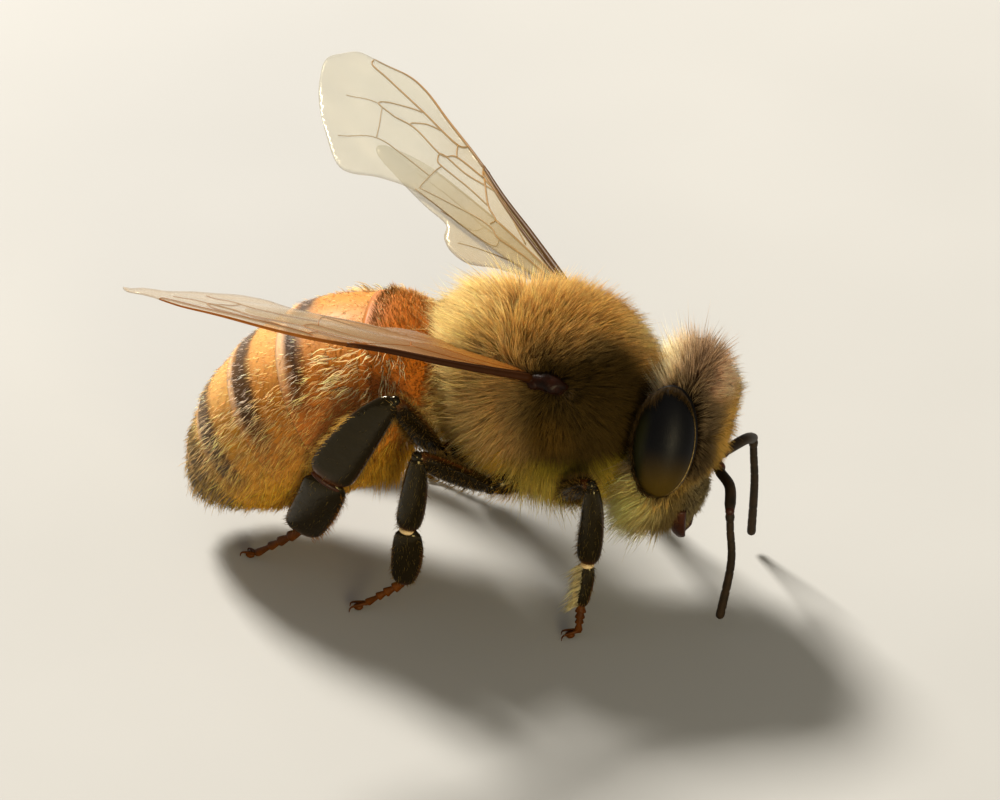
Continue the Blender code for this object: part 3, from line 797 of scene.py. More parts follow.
def add_head_coat():
    rng = np.random.default_rng(12)

    def weight(points):
        x, _, z = head_local(points).T
        face = smoothstep(0.1, 0.4, x) * smoothstep(0.9, 0.4, z)
        return is_head(points) * (eye_distance(points) > 0.97) * (1 - 0.3 * face) * (z > -1.75)

    roots, normals = scatter(rng, BODY, HAIR_COUNTS["head"], weight)
    x, y, z = head_local(roots).T
    back = smoothstep(0.25, -0.3, x)
    crown = smoothstep(0.3, 1.1, z)
    beard = smoothstep(0.15, -0.2, x) * smoothstep(0.3, -0.7, z)
    rim = smoothstep(1.3, 1.05, eye_distance(roots))
    up = np.where(z > 0.6, 0.6, -0.8)
    clypeus = smoothstep(0.0, -0.5, z) * smoothstep(0.1, 0.4, x)
    lay_local = np.stack([0.3 + 0.7 * crown - 1.1 * beard, np.sign(y) * 0.15, up], axis=1)
    length = (0.3 + crown * (0.08 + 0.46 * back) + 0.65 * beard * (1 - rim * 0.6) - 0.1 * rim
              - 0.15 * clypeus)
    tint = head_tint(roots)
    pale = mixed(tint, (0.95, 0.72, 0.44), 0.12 + 0.2 * crown) * 1.35
    made = hairs(rng, roots, normals, lay_local @ HEAD_TURN.T, length, 0.0072, (0.1, 0.6 + 0.3 * beard),
                 tint * (0.42 + 0.58 * beard)[:, None], pale, clump=0.45, lead=12)
    lashes = [eye_rim_hairs(rng, side) for _, side in SIDES]
    for number, (name, chosen) in enumerate((("left", roots[:, 1] > 0), ("right", roots[:, 1] <= 0))):
        batch = {key: value[chosen] for key, value in made.items()}
        add_coat("head_coat_" + name, [batch, lashes[number]], globe(HEAD_CENTRE))


def eye_rim_hairs(rng, side):
    """Hairs round the eye's margin: brown ones lean in over its back and top, and golden lashes hang from
    its lower end."""
    centre, turn = eye_frame(side)
    around = np.concatenate([rng.uniform(0, TAU, HAIR_COUNTS["eye_rim"]),
                             rng.normal(-1.45, 0.2, HAIR_COUNTS["lashes"])])
    below = np.arange(len(around)) >= HAIR_COUNTS["eye_rim"]
    ahead, high = np.cos(around), np.sin(around)
    roots = np.stack([ahead, np.full(len(around), 0.25 * side), high], axis=1) * EYE_SIZE
    outward = unit(np.stack([ahead, np.full(len(around), 0.8 * side), high], axis=1) / EYE_SIZE)
    behind, above = smoothstep(0.2, -0.6, ahead), smoothstep(0.5, 0.9, high)
    inward = mixed(np.stack([-ahead * 0.6, 0 * ahead, -high * 0.4 - 0.3], axis=1), (0.1, 0.0, -1.0), below)
    length = 0.06 + 0.22 * behind + 0.16 * above + 0.34 * below
    colour = mixed((0.14, 0.09, 0.03), (0.07, 0.04, 0.012), np.maximum(behind, above))
    colour = mixed(colour, (0.8, 0.58, 0.2), below)
    lean = (0.5, 1.45 - 0.35 * below)
    return hairs(rng, roots @ turn.T + centre, outward @ turn.T, inward @ turn.T, length, 0.007, lean,
                 colour * 0.8, colour * 1.3, clump=0.4, lead=8)


# ---------------------------------------------------------------- eyes, mouth, antennae

def eye_frame(side):
    x, y, z = EYE_CENTRE
    turn = HEAD_TURN @ turned(-EYE_TIP, "Y") @ turned(EYE_SPLAY * side, "X")
    return head_place([(x, y * side, z)])[0], turn


def eye_distance(points):
    """How far points lie from the middle of the nearer eye, in its own half sizes."""
    found = []
    for _, side in SIDES:
        centre, turn = eye_frame(side)
        found.append(np.linalg.norm(((points - centre) @ turn) / EYE_SIZE, axis=1))
    return np.minimum(*found)


OCELLI = ((0.5, 0.0, 1.36), (0.28, 0.2, 1.5), (0.28, -0.2, 1.5))


def add_eyes():
    for name, side in SIDES:
        centre, turn = eye_frame(side)
        shape = ellipsoid(centre, EYE_SIZE, turn, 72, 56)
        ahead, _, high = (((shape[0] - centre) @ turn) / EYE_SIZE).T
        # Lighter olive brown towards the bottom; the green-olive cast over the eye's back is a painted
        # sheen.
        behind = smoothstep(-0.35, -0.7, ahead) * smoothstep(0.7, 0.2, high)
        tint = layered((0.004, 0.004, 0.005), ((0.05, 0.03, 0.004), smoothstep(0.0, -0.8, high)),
                       ((0.014, 0.014, 0.005), behind))
        add_piece("compound_eye_" + name, shape, EYE, ("eye_" + name,), tint=tint)
        round_front = np.linspace(-1.25, 0.7, 30)
        ridge = np.stack([np.cos(round_front), 0 * round_front + 0.28 * side, np.sin(round_front)], axis=1)
        ridge = (unit(ridge) * EYE_SIZE) @ turn.T + centre
        radius = np.interp(round_front, (-1.25, -0.9, -0.2, 0.7), (0.002, 0.014, 0.012, 0.002))
        ridge = sweep(ridge, radius, wide=turn @ (0.0, 1.0, 0.0), sides=8)
        add_piece("eye_ridge_" + name, ridge, RIDGE)
    ocelli = joined([ellipsoid(spot, (0.11, 0.11, 0.1), HEAD_TURN, 20, 14) for spot in head_place(OCELLI)])
    add_piece("ocelli", ocelli, EYE, tint=(0.02, 0.01, 0.006))


def add_mouth():
    for name, side in SIDES:
        path = smooth_path(head_place([(0.34, 0.5 * side, -1.3), (0.42, 0.46 * side, -1.55),
                                       (0.48, 0.32 * side, -1.82), (0.5, 0.1 * side, -1.98)]), 6)
        at = np.arange(len(path))
        jaw = sweep(path, np.interp(at, (0, 6, 13, 18), (0.2, 0.17, 0.16, 0.06)),
                    np.interp(at, (0, 18), (0.12, 0.05)), HEAD_TURN @ (1.0, 0.3 * side, 0.0), 14)
        add_piece("jaw_" + name, jaw, MAROON, ("mandible_" + name,))
    folded = []
    for offset, tip, size in ((0.0, -2.15, 0.09), (0.1, -2.05, 0.07), (-0.1, -2.05, 0.07)):
        path = head_place([(-0.1, offset, -1.35), (-0.2, offset, -1.75), (-0.24, offset * 0.6, tip)])
        folded.append(sweep(smooth_path(path, 6), np.interp(np.arange(13), (0, 8, 12), (size, size, 0.02)),
                            wide=HEAD_TURN @ (0.0, 1.0, 0.0), sides=12))
    add_piece("folded_tongue", joined(folded), RED, ("proboscis",))


FLAGELLUM_BEADS = 11


def add_antennae():
    for name, joints in ANTENNAE.items():
        foot, elbow, middle, tip = (np.array(joint) for joint in joints)
        inward = unit(foot - elbow)
        arch = (foot + elbow) / 2 + np.array((0.1, 0.0, 0.12))
        scape_path = smooth_path([foot + inward * 0.35, foot, arch, elbow], 10)
        share = np.linspace(0, 1, len(scape_path))
        radius = np.interp(share, (0, 0.2, 0.3, 0.9, 1), (0.09, 0.09, 0.105, 0.115, 0.09))
        add_piece("scape_" + name, sweep(scape_path, radius, sides=16), ANTENNA,
                  ("antenna_%s_scape" % name,))
        path = smooth_path([elbow, elbow * 0.65 + middle * 0.35, middle, tip], 28)
        travelled = np.concatenate([[0], np.cumsum(np.linalg.norm(np.diff(path, axis=0), axis=1))])
        share = travelled / travelled[-1]
        groove = np.abs(((share * FLAGELLUM_BEADS) % 1) - 0.5) * 2
        radius = 0.092 - 0.016 * smoothstep(0.8, 1.0, groove)
        radius = radius * np.interp(share, (0, 0.05, 0.1, 0.96, 0.99, 1),
                                    (0.8, 1.05, 0.85, 1.0, 0.75, 0.25))
        add_piece("flagellum_" + name, sweep(path, radius, wide=(1, 0, 0), sides=16), ANTENNA,
                  ("antenna_%s_flagellum" % name,))
        balls = joined([ball(foot + inward * 0.12, 0.13), ball(elbow, 0.095)])
        add_piece("antenna_joints_" + name, balls, MAROON)


# ---------------------------------------------------------------- abdomen

AXIS_PATH = smooth_path([(x, 0.0, z) for x, z in ABDOMEN_AXIS], 16)
AXIS_STEPS = np.linalg.norm(np.diff(AXIS_PATH, axis=0), axis=1)
AXIS_SHARE = np.concatenate([[0], np.cumsum(AXIS_STEPS)]) / AXIS_STEPS.sum()


def axis_at(share):
    """Place, direction to the tail and direction up at shares of the abdomen's axis."""
    share = np.clip(np.asarray(share, float), 0, 1)
    centre = np.stack([np.interp(share, AXIS_SHARE, AXIS_PATH[:, k]) for k in range(3)], axis=-1)
    step = 0.02
    ends = [np.stack([np.interp(np.clip(share + by, 0, 1), AXIS_SHARE, AXIS_PATH[:, k]) for k in range(3)],
                     axis=-1) for by in (-step, step)]
    back = unit(ends[1] - ends[0])
    up = np.cross(back, (0.0, -1.0, 0.0))
    return centre, back, up


def girth_at(share):
    """Half width of the abdomen, as a smooth curve through its named widths."""
    shares, widths = np.array(GIRTH).T
    fine = smooth_path(np.stack([shares, widths, shares * 0], axis=1), 8)
    return np.interp(share, fine[:, 0], fine[:, 1])


ABDOMEN_SIDES = 96
# Colours of each ring on its back and on its flanks
PLATE_TINTS = ((ORANGE, ORANGE * 0.85), ((0.5, 0.19, 0.015), (0.4, 0.12, 0.008)),
               ((0.62, 0.28, 0.06), (0.36, 0.13, 0.006)), ((0.62, 0.33, 0.09), (0.4, 0.18, 0.012)),
               (STRAW, (0.34, 0.18, 0.02)), (STRAW * 0.4, (0.12, 0.08, 0.018)))
# Dark bands: how far round from the top each reaches, how wide it is as a share of its ring, how dark
BANDS = ((0.0, 0.0, 0.0), (1.15, 0.26, 0.95), (1.3, 0.42, 0.92), (1.6, 0.45, 0.9), (2.2, 0.7, 0.75),
         (3.2, 0.9, 0.7))
PLEURA = 1.95               # angle from the top where the back plates lap over the belly plates


def abdomen_points(share, offset, angle):
    """Places at shares of the axis, so far outside the coat's outline, at angles from the top."""
    share, offset, angle = np.broadcast_arrays(share, offset, angle)
    centre, _, up = axis_at(share)
    radius = girth_at(share) + offset
    belly = smoothstep(PLEURA, PLEURA + 0.08, np.abs(angle))
    radius = radius - 0.04 * belly - 0.15 * smoothstep(1.6, 2.5, np.abs(angle))
    return (centre + up * (radius * ABDOMEN_HEIGHT * np.cos(angle))[..., None]
            + np.array((0.0, 1.0, 0.0)) * (radius * np.sin(angle))[..., None])


def plate_lift(share, start, end):
    """How far a plate lies outside the coat's outline: it rises towards its rear edge."""
    return -PLATE_DEPTH - LIP * (1 - smoothstep(start, end, share)) + PLATE_RISE


def plate_tint(number, share, angle):
    """Amber rings, browner on their flanks, with a dark band before each pale rear rim, and a dark tip."""
    start, end = RING_ENDS[number - 1], RING_ENDS[number]
    along = (share - start) / (end - start)
    top, flank_tint = PLATE_TINTS[number - 1]
    place_on = np.stack([share * 9, np.cos(angle) * 1.6, np.sin(angle) * 1.6], axis=-1).reshape(-1, 3)
    wave = wander(place_on, 2.2, number).reshape(np.shape(share))
    fine = wander(place_on, 9.0, number + 3.0).reshape(np.shape(share))
    colour = mixed(top, flank_tint, smoothstep(0.25, 1.1, np.abs(angle) + 0.1 * wave))
    colour = mixed(colour, STRAW * (0.8, 0.7, 0.5), smoothstep(1.4, 2.1, np.abs(angle)) * 0.7)
    reach, width, depth = BANDS[number - 1]
    if reach:
        middle = 1.0 - width / 2
        edge = np.abs(along - middle + 0.05 * wave + 0.03 * fine)
        band = smoothstep(width / 2 + 0.07, width / 2 - 0.1, edge)
        fade = smoothstep(reach + 0.35, reach - 0.3, np.abs(angle) + 0.2 * wave)
        colour = mixed(colour, BROWN * 0.25, band * fade * depth)
    else:
        edge = smoothstep(0.78, 0.95, along + 0.06 * wave) * smoothstep(0.8, 0.3, np.abs(angle))
        front = smoothstep(0.12, 0.0, along)
        colour = mixed(colour, (0.3, 0.12, 0.03), np.maximum(edge * 0.5, front * 0.85))
    rim = smoothstep(0.965, 0.985, along) * (number > 1) * smoothstep(1.15, 0.5, np.abs(angle))
    return mixed(colour, (0.75, 0.45, 0.24), rim * 0.85)


def plates_tint(share, angle, number):
    """The plates' colours at scattered places."""
    colour = np.zeros((len(share), 3))
    for one in range(1, RINGS + 1):
        chosen = number == one
        colour[chosen] = plate_tint(one, share[chosen], angle[chosen])
    return colour


def add_abdomen():
    angle = np.arange(ABDOMEN_SIDES) * TAU / ABDOMEN_SIDES - math.pi
    for number in range(1, RINGS + 1):
        start, end = RING_ENDS[number - 1], RING_ENDS[number]
        first = start if number > 1 else start - 0.035
        last = min(end + OVERLAP, 0.998)
        outer = np.concatenate([[first - OVERLAP / 2], np.linspace(first, end, 14),
                                [end + OVERLAP / 2, last]])
        lift = plate_lift(outer, start, end)
        lift[-1] -= PLATE_RISE
        if number < RINGS:
            inner = np.linspace(last - OVERLAP * 0.4, first, 6)
            inner_lift = np.full(6, -PLATE_DEPTH - LIP - 0.08)
            inner_lift[0] = -PLATE_DEPTH - 0.03
            share, offset = np.concatenate([outer, inner]), np.concatenate([lift, inner_lift])
        else:
            share, offset = outer, lift
            offset[-3:] = -PLATE_DEPTH, -PLATE_DEPTH, -0.12
        rings = abdomen_points(share[:, None], offset[:, None], angle[None])
        shape = loft(rings, closed=number < RINGS)
        tint = plate_tint(number, *np.broadcast_arrays(share[:, None], angle[None])).reshape(-1, 3)
        if number == RINGS:
            tint = np.vstack([tint, tint[0], tint[-1]])
        add_piece("abdomen_plate_%d" % number, shape, PLATE,
                  ("abdomen_%d" % number,), tint)
    share = np.linspace(0.0, 0.93, 24)
    core = loft(abdomen_points(share[:, None], -PLATE_DEPTH - LIP - 0.07, angle[None]))
    add_piece("abdomen_core", core, SKIN, tint=BROWN * 0.6)


def abdomen_roots(rng, part, low, high, angle_low=0.0, angle_high=math.pi):
    """Hair roots on the plates for a part of the coat, with normals, the direction to the tail, shares of
    the axis, angles from the top and ring numbers. They are as dense where the abdomen is slim."""
    count = HAIR_COUNTS[part]
    share = rng.uniform(low, high, count * 3)
    kept = rng.random(len(share)) < girth_at(share) / WIDEST
    share = share[kept][:count]
    angle = rng.uniform(angle_low, angle_high, len(share)) * rng.choice((-1, 1), len(share))
    number = np.clip(np.searchsorted(RING_ENDS, share), 1, RINGS)
    start, end = np.array(RING_ENDS)[number - 1], np.array(RING_ENDS)[number]
    roots = abdomen_points(share, plate_lift(share, start, end), angle)
    _, back, up = axis_at(share)
    normals = up * np.cos(angle)[:, None] + np.array((0.0, 1.0, 0.0)) * np.sin(angle)[:, None]
    slope = (girth_at(share + 0.01) - girth_at(share - 0.01)) / (0.02 * AXIS_STEPS.sum())
    normals = unit(normals - back * slope[:, None])
    return roots, normals, back, share, angle, number


def abdomen_unwrap(roots):
    """Along the abdomen and round it."""
    share = AXIS_SHARE[nearest(AXIS_PATH, roots)]
    centre, back, up = axis_at(share)
    away = roots - centre
    along = np.einsum("ij,ij->i", away, back) / AXIS_STEPS.sum()
    return np.stack([share + along, np.arctan2(away[:, 1], np.einsum("ij,ij->i", away, up))], axis=1)


def plate_hairs(rng):
    """Short hairs that lie back on the plates: golden, dark near the tail, and pale over the tops of the
    bands as a painted sheen.
    """
    found = abdomen_roots(rng, "plates", 0.08, 0.985)
    share, round_by = found[3], np.abs(found[4])
    dense = np.maximum(smoothstep(0.3, 1.1, round_by), smoothstep(0.5, 0.9, share))
    keep = rng.random(len(share)) < 0.7 + 0.3 * dense
    keep &= (share > 0.17) | (round_by > 1.1)
    roots, normals, back, share, angle, number = (part[keep] for part in found)
    round_by = np.abs(angle)
    flank, rear = smoothstep(0.3, 1.1, round_by), smoothstep(0.5, 0.9, share)
    length = 0.12 + 0.12 * flank + 0.05 * rear - 0.06 * smoothstep(1.7, 2.1, round_by)
    guard = rng.random(len(share)) < 0.3 + 0.15 * (flank > 0.7)
    shell = plates_tint(share, angle, number)
    # Painted sheen: pale hairs over the tops of the dark bands stand in for the gloss they reflect.
    band_sheen = smoothstep(0.25, 0.08, shell[:, 0]) * smoothstep(1.3, 0.6, round_by) * (1 - rear)
    gold = layered((0.95, 0.72, 0.4), ((0.85, 0.56, 0.08), smoothstep(0.9, 1.9, round_by)),
                   ((0.22, 0.16, 0.045), smoothstep(0.76, 0.84, share) * np.where(guard, 0.4, 0.9)),
                   ((0.85, 0.74, 0.68), band_sheen * 0.9))
    tint = mixed(shell, gold, np.where(guard, 0.95, 0.35 + 0.15 * flank + 0.25 * band_sheen))
    lay = back + np.array((0.0, 0.0, -0.9)) * flank[:, None]
    return hairs(rng, roots, normals, lay, length * np.where(guard, 1.25, 0.9),
                 np.where(guard, 0.0078, 0.0048), (0.85, 1.25), tint, tint * 1.25, clump=0.35, lead=6)


def first_ring_pile(rng):
    """Fine pile on the back of the first ring, browner at its rear edge."""
    roots, normals, back, share, angle, number = abdomen_roots(rng, "first_ring", 0.045, 0.19, 0.0, 1.2)
    margin = smoothstep(0.16, 0.185, share) * smoothstep(0.9, 0.4, np.abs(angle))
    tint = layered(plates_tint(share, angle, number), ((0.75, 0.42, 0.09), 0.6), (BROWN, margin * 0.6))
    return hairs(rng, roots, normals, back + (0, 0, 0.3), 0.17, 0.0058, (0.3, 0.9), tint * 0.6,
                 mixed(tint, CREAM, 0.2 * (1 - margin)), clump=0.4, lead=8)


def side_locks(rng):
    """Pale curled locks down the upper flanks of the first two rings."""
    roots, normals, back, share, _, _ = abdomen_roots(rng, "side_locks", 0.12, 0.28, 0.58, 1.1)
    tint = np.array((1.0, 0.84, 0.56))
    turn_down = smoothstep(0.24, 0.13, share)[:, None]
    lay = back * (1 - 0.6 * turn_down) + np.array((0.0, 0.0, -1.0)) * (0.55 + turn_down)
    return hairs(rng, roots, normals, lay, 0.38, 0.016, (0.7, 1.6), tint * 0.95, tint, steps=5, clump=0.55,
                 lead=3, wave=0.08, stray=0.1)


def waist_fluff(rng):
    """Cream fluff on the front of the abdomen and the rear wall of the thorax, and straw-coloured fluff
    under the abdomen and behind the chest."""
    cream = CREAM * (1.1, 1.1, 1.0)
    roots, normals, back, *_ = abdomen_roots(rng, "front", 0.035, 0.085, 0.0, 1.9)
    front = hairs(rng, roots, normals, back * -0.5 + (0, 0, 1.0), 0.42, 0.0062, (0.1, 0.9), cream * 0.85,
                  cream, clump=0.3, lead=12)

    def on_rump(points):
        x, _, z = points.T
        return ((x < -1.25) & (x > -2.35) & (z > -1.2)) * (1 + 2.5 * smoothstep(0.2, 0.9, z))

    roots, normals = scatter(rng, BODY, HAIR_COUNTS["rump"], on_rump)
    length = 0.62 + 0.22 * smoothstep(0.0, 0.8, roots[:, 2])
    rump = hairs(rng, roots, normals, (-1.0, 0.0, 0.45), length, 0.0068, (0.15, 0.9), cream * 0.8, cream,
                 clump=0.3, lead=14)
    roots, normals, back, *_ = abdomen_roots(rng, "belly", 0.03, 0.3, 1.7, 3.1)
    straw = STRAW * (1.4, 1.5, 1.6)
    belly = hairs(rng, roots, normals, back * 0.3 + (0, 0, -1.0), 0.4, 0.0072, (0.2, 0.9), straw * 0.7,
                  straw, clump=0.4, lead=8)

    def on_chest(points):
        x, _, z = points.T
        return (x < -0.5) & (x > -2.3) & (z < -0.4)

    roots, normals = scatter(rng, BODY, HAIR_COUNTS["chest"], on_chest)
    straw = STRAW * (1.4, 1.6, 2.0)
    chest = hairs(rng, roots, normals, (-1.0, 0.0, -0.7), 0.8, 0.0075, (0.3, 1.1), straw * 0.7, straw,
                  clump=0.5, lead=10)
    return [front, rump, belly, chest]


def add_abdomen_coat():
    rng = np.random.default_rng(21)
    add_coat("abdomen_coat", [plate_hairs(rng)], abdomen_unwrap)
    pile = first_ring_pile(rng)
    add_coat("side_locks", [side_locks(rng)], abdomen_unwrap, steps=5)
    add_coat("waist_coat", [pile, *waist_fluff(rng)], abdomen_unwrap)


# ---------------------------------------------------------------- legs

TROCHANTER, KNEE, HEEL, ANKLE, TOE = range(1, 6)    # a leg's joints after its hip
PIECES = ("coxa", "femur", "tibia", "basitarsus")
# Half widths and half thicknesses along each piece, at these shares of its length
SHARES = (0.0, 0.12, 0.35, 0.65, 0.88, 1.0)
LIMBS = {
    "coxa": dict.fromkeys(LEGS, ((0.2, 0.28, 0.3, 0.27, 0.2, 0.12),
                                 (0.2, 0.26, 0.27, 0.24, 0.18, 0.12))),
    "femur": {"front": ((0.13, 0.19, 0.24, 0.24, 0.19, 0.12), (0.12, 0.17, 0.2, 0.2, 0.16, 0.1)),
              "mid": ((0.13, 0.19, 0.24, 0.25, 0.2, 0.12), (0.12, 0.17, 0.2, 0.2, 0.16, 0.1)),
              "hind": ((0.13, 0.2, 0.27, 0.28, 0.22, 0.13), (0.12, 0.17, 0.2, 0.2, 0.17, 0.11))},
    "tibia": {"front": ((0.12, 0.17, 0.23, 0.26, 0.24, 0.15), (0.11, 0.14, 0.17, 0.18, 0.17, 0.12)),
              "mid": ((0.12, 0.18, 0.25, 0.28, 0.26, 0.17), (0.11, 0.14, 0.17, 0.18, 0.17, 0.12)),
              "hind": ((0.18, 0.27, 0.4, 0.48, 0.49, 0.38), (0.13, 0.17, 0.18, 0.18, 0.16, 0.12))},
    "basitarsus": {"front": ((0.1, 0.13, 0.14, 0.13, 0.12, 0.08), (0.09, 0.1, 0.11, 0.11, 0.1, 0.07)),
                   "mid": ((0.16, 0.27, 0.32, 0.31, 0.24, 0.12), (0.1, 0.13, 0.14, 0.14, 0.12, 0.08)),
                   "hind": ((0.36, 0.46, 0.47, 0.45, 0.4, 0.28), (0.1, 0.14, 0.16, 0.16, 0.13, 0.08))},
}
LIMB_STEPS = 22
BOW, HIND_SHIN_BOW = 0.05, -0.1     # how far the middle of a limb bends forward
TARSAL_ENDS = (0.0, 0.26, 0.48, 0.68, 1.0)
TARSAL_STEPS = 12
CLAW_SPREAD = ((0.1, 0.05, 0.16), (0.3, 0.1, 0.11), (0.34, 0.11, 0.005))    # forward, outward, height

GREY = np.array((0.14, 0.1, 0.03))
TAN = np.array((0.3, 0.19, 0.05))
# Hairs all over each piece: how many, length, radius, colours of root and tip, lean
LIMB_COAT = {"coxa": (350, 0.3, 0.007, TAN, STRAW * 1.2, (0.5, 1.1)),
             "femur": (700, 0.2, 0.006, TAN * 0.6, TAN * 1.6, (0.5, 1.1)),
             "tibia": (380, 0.15, 0.005, GREY, GREY * 2.2, (1.1, 1.4)),
             "basitarsus": (300, 0.13, 0.005, GREY, GREY * 2.2, (1.1, 1.4))}
HIND_SHIN_HAIRS = 90        # the hind shin is polished
# Fringes: piece and edge, shares of its length, how many, length, radius, colour, lean
FRINGES = {
    "front": (("basitarsus", -1, (-0.1, 0.98), 320, 0.34, 0.0085, (1.0, 0.88, 0.55), (0.5, 1.0)),
              ("tibia", -1, (0.1, 1.0), 120, 0.15, 0.005, TAN, (0.4, 1.0))),
    "mid": (("basitarsus", 1, (0.1, 0.98), 140, 0.1, 0.005, TAN, (0.4, 1.0)),
            ("basitarsus", -1, (0.1, 0.98), 140, 0.1, 0.005, TAN, (0.4, 1.0)),
            ("tibia", -1, (0.2, 1.0), 110, 0.12, 0.005, TAN, (0.4, 1.0))),
    "hind": (("tibia", -1, (0.3, 1.0), 200, 0.26, 0.0045, (0.8, 0.55, 0.14), (0.7, 1.3)),
             ("tibia", 1, (0.1, 0.95), 160, 0.24, 0.0055, TAN, (0.5, 1.2)),
             ("basitarsus", 1, (0.05, 0.98), 240, 0.16, 0.0055, AMBER * 0.7, (0.4, 1.0)),
             ("basitarsus", -1, (0.05, 0.98), 120, 0.12, 0.005, TAN * 0.6, (0.4, 1.0))),
}


def leg_joints(pair, side):
    joints = np.array(LEGS[pair]) * (1, side, 1)
    if side > 0:
        joints[2:] += LEFT_SHIFT[pair]
    return joints


def limb_axes(start, end):
    """Unit vectors along a limb, across its flat side and out of it."""
    along = unit(end - start)
    wide = unit(np.cross(along, (0.0, 1.0, 0.0)))
    return along, wide, np.cross(along, wide)


def limb_tint(shape, start, end):
    """Near-black shell, red brown along the thin edges and at the far end."""
    along, _, out = limb_axes(start, end)
    away = shape[0] - start
    share = np.einsum("ij,j->i", away, along) / np.linalg.norm(end - start)
    flat = np.abs(np.einsum("ij,j->i", away, out))
    edge = smoothstep(0.07, 0.02, flat) * smoothstep(0.2, 0.45, share)
    rust = np.maximum(edge * 0.6, smoothstep(0.9, 1.02, share) * 0.7)
    return mixed((0.007, 0.0045, 0.0015), (0.1, 0.026, 0.004), rust)


def bend(piece, pair, share):
    """How far a limb's middle line lies in front of the straight one at a share of its length."""
    bow = HIND_SHIN_BOW if (piece, pair) == ("tibia", "hind") else BOW
    return bow * np.sin(np.clip(share, 0, 1) ** 0.8 * math.pi)


def limb_shape(piece, pair, start, end):
    share = np.linspace(0, 1, LIMB_STEPS)
    curves = [smooth_path([(s, w, 0) for s, w in zip(SHARES, row)], 6) for row in LIMBS[piece][pair]]
    width, thick = (np.interp(share, curve[:, 0], curve[:, 1]) for curve in curves)
    round_off = np.sqrt(np.clip(1 - (np.abs(share * 2 - 1) ** 14), 0.02, 1))
    _, wide, _ = limb_axes(start, end)
    path = (start + (end - start) * (share * 1.04 - 0.02)[:, None]
            + bend(piece, pair, share)[:, None] * wide)
    return sweep(path, width * round_off, thick * round_off, wide, 20)


def foot_shapes(joints):
    """Four small flared tarsal joints, two curved claws that rest on the floor, and a pad."""
    root, toe = joints[ANKLE], joints[TOE]
    forward = unit(np.array((toe[0] - root[0], toe[1] - root[1], 0.0)))
    wrist = toe - forward * 0.22 + (0, 0, 0.17)
    start = root - (wrist - root) * 0.06
    shapes = []
    for number, (low, high) in enumerate(zip(TARSAL_ENDS, TARSAL_ENDS[1:])):
        at = np.linspace(low, min(high + 0.03, 1.0), TARSAL_STEPS)
        flare = np.interp(np.linspace(0, 1, TARSAL_STEPS), (0, 0.12, 0.8, 0.93, 1.0),
                          (0.045, 0.06, 0.1, 0.1, 0.05))
        flare = flare * (1.12 - 0.1 * number)
        shapes.append(sweep(start + (wrist - start) * at[:, None], flare, flare * 0.75,
                            wide=(0.0, 0.0, 1.0), sides=14))
    across = np.cross(forward, (0, 0, 1))
    for turn in (-1, 1):
        claw = [wrist + forward * reach + across * spread * turn + (0, 0, height - 0.17)
                for reach, spread, height in CLAW_SPREAD]
        claw = smooth_path([wrist - forward * 0.05, *claw], 5)
        shapes.append(sweep(claw, np.linspace(0.045, 0.006, len(claw)), wide=across, sides=8))
    shapes.append(ellipsoid(wrist + forward * 0.16 - (0, 0, 0.09), (0.1, 0.09, 0.07), None, 16, 12))
    return shapes


def cuff_shape(pair, joints):
    """The soft joint between the shin and the foot's first long piece."""
    along, wide, _ = limb_axes(joints[KNEE], joints[HEEL])
    path = np.linspace(joints[HEEL] - along * 0.03, joints[HEEL] + along * 0.09, 7)
    swell = np.array((0.6, 0.88, 0.95, 0.97, 0.93, 0.8, 0.5))
    return sweep(path, swell * LIMBS["tibia"][pair][0][-1], swell * 0.13, wide, 18)


def fringe(rng, pair, joints, piece, edge_side, shares, count, length, radius, tint, lean):
    """A row of longer hairs along one edge of a limb, leaning towards its far end. Hairs that would root
    before the limb's start are left out."""
    start, end = joints[PIECES.index(piece):][:2]
    along, wide, out = limb_axes(start, end)
    share = rng.uniform(*shares, count)[:, None]
    width = np.interp(share, SHARES, LIMBS[piece][pair][0])
    edge = width * edge_side * 0.92 + bend(piece, pair, share)
    roots = start + (end - start) * share + wide * edge + out * rng.normal(0, 0.05, (count, 1))
    normals = unit(wide * edge_side + out * rng.normal(0, 0.25, (count, 1)))
    made = hairs(rng, roots, normals, along, length, radius, lean, np.array(tint) * 0.7, tint)
    return {key: value[share[:, 0] >= 0] for key, value in made.items()}


def leg_coat(rng, pair, joints, limb):
    made = []
    for piece, shape, start, end in zip(PIECES, limb, joints, joints[1:]):
        count, length, radius, root_tint, tip_tint, lean = LIMB_COAT[piece]
        if (piece, pair) == ("tibia", "hind"):
            count = HIND_SHIN_HAIRS
        roots, normals = scatter(rng, shape, count)
        made.append(hairs(rng, roots, normals, unit(end - start), length, radius, lean, root_tint,
                          tip_tint))
    return made + [fringe(rng, pair, joints, *row) for row in FRINGES[pair]]


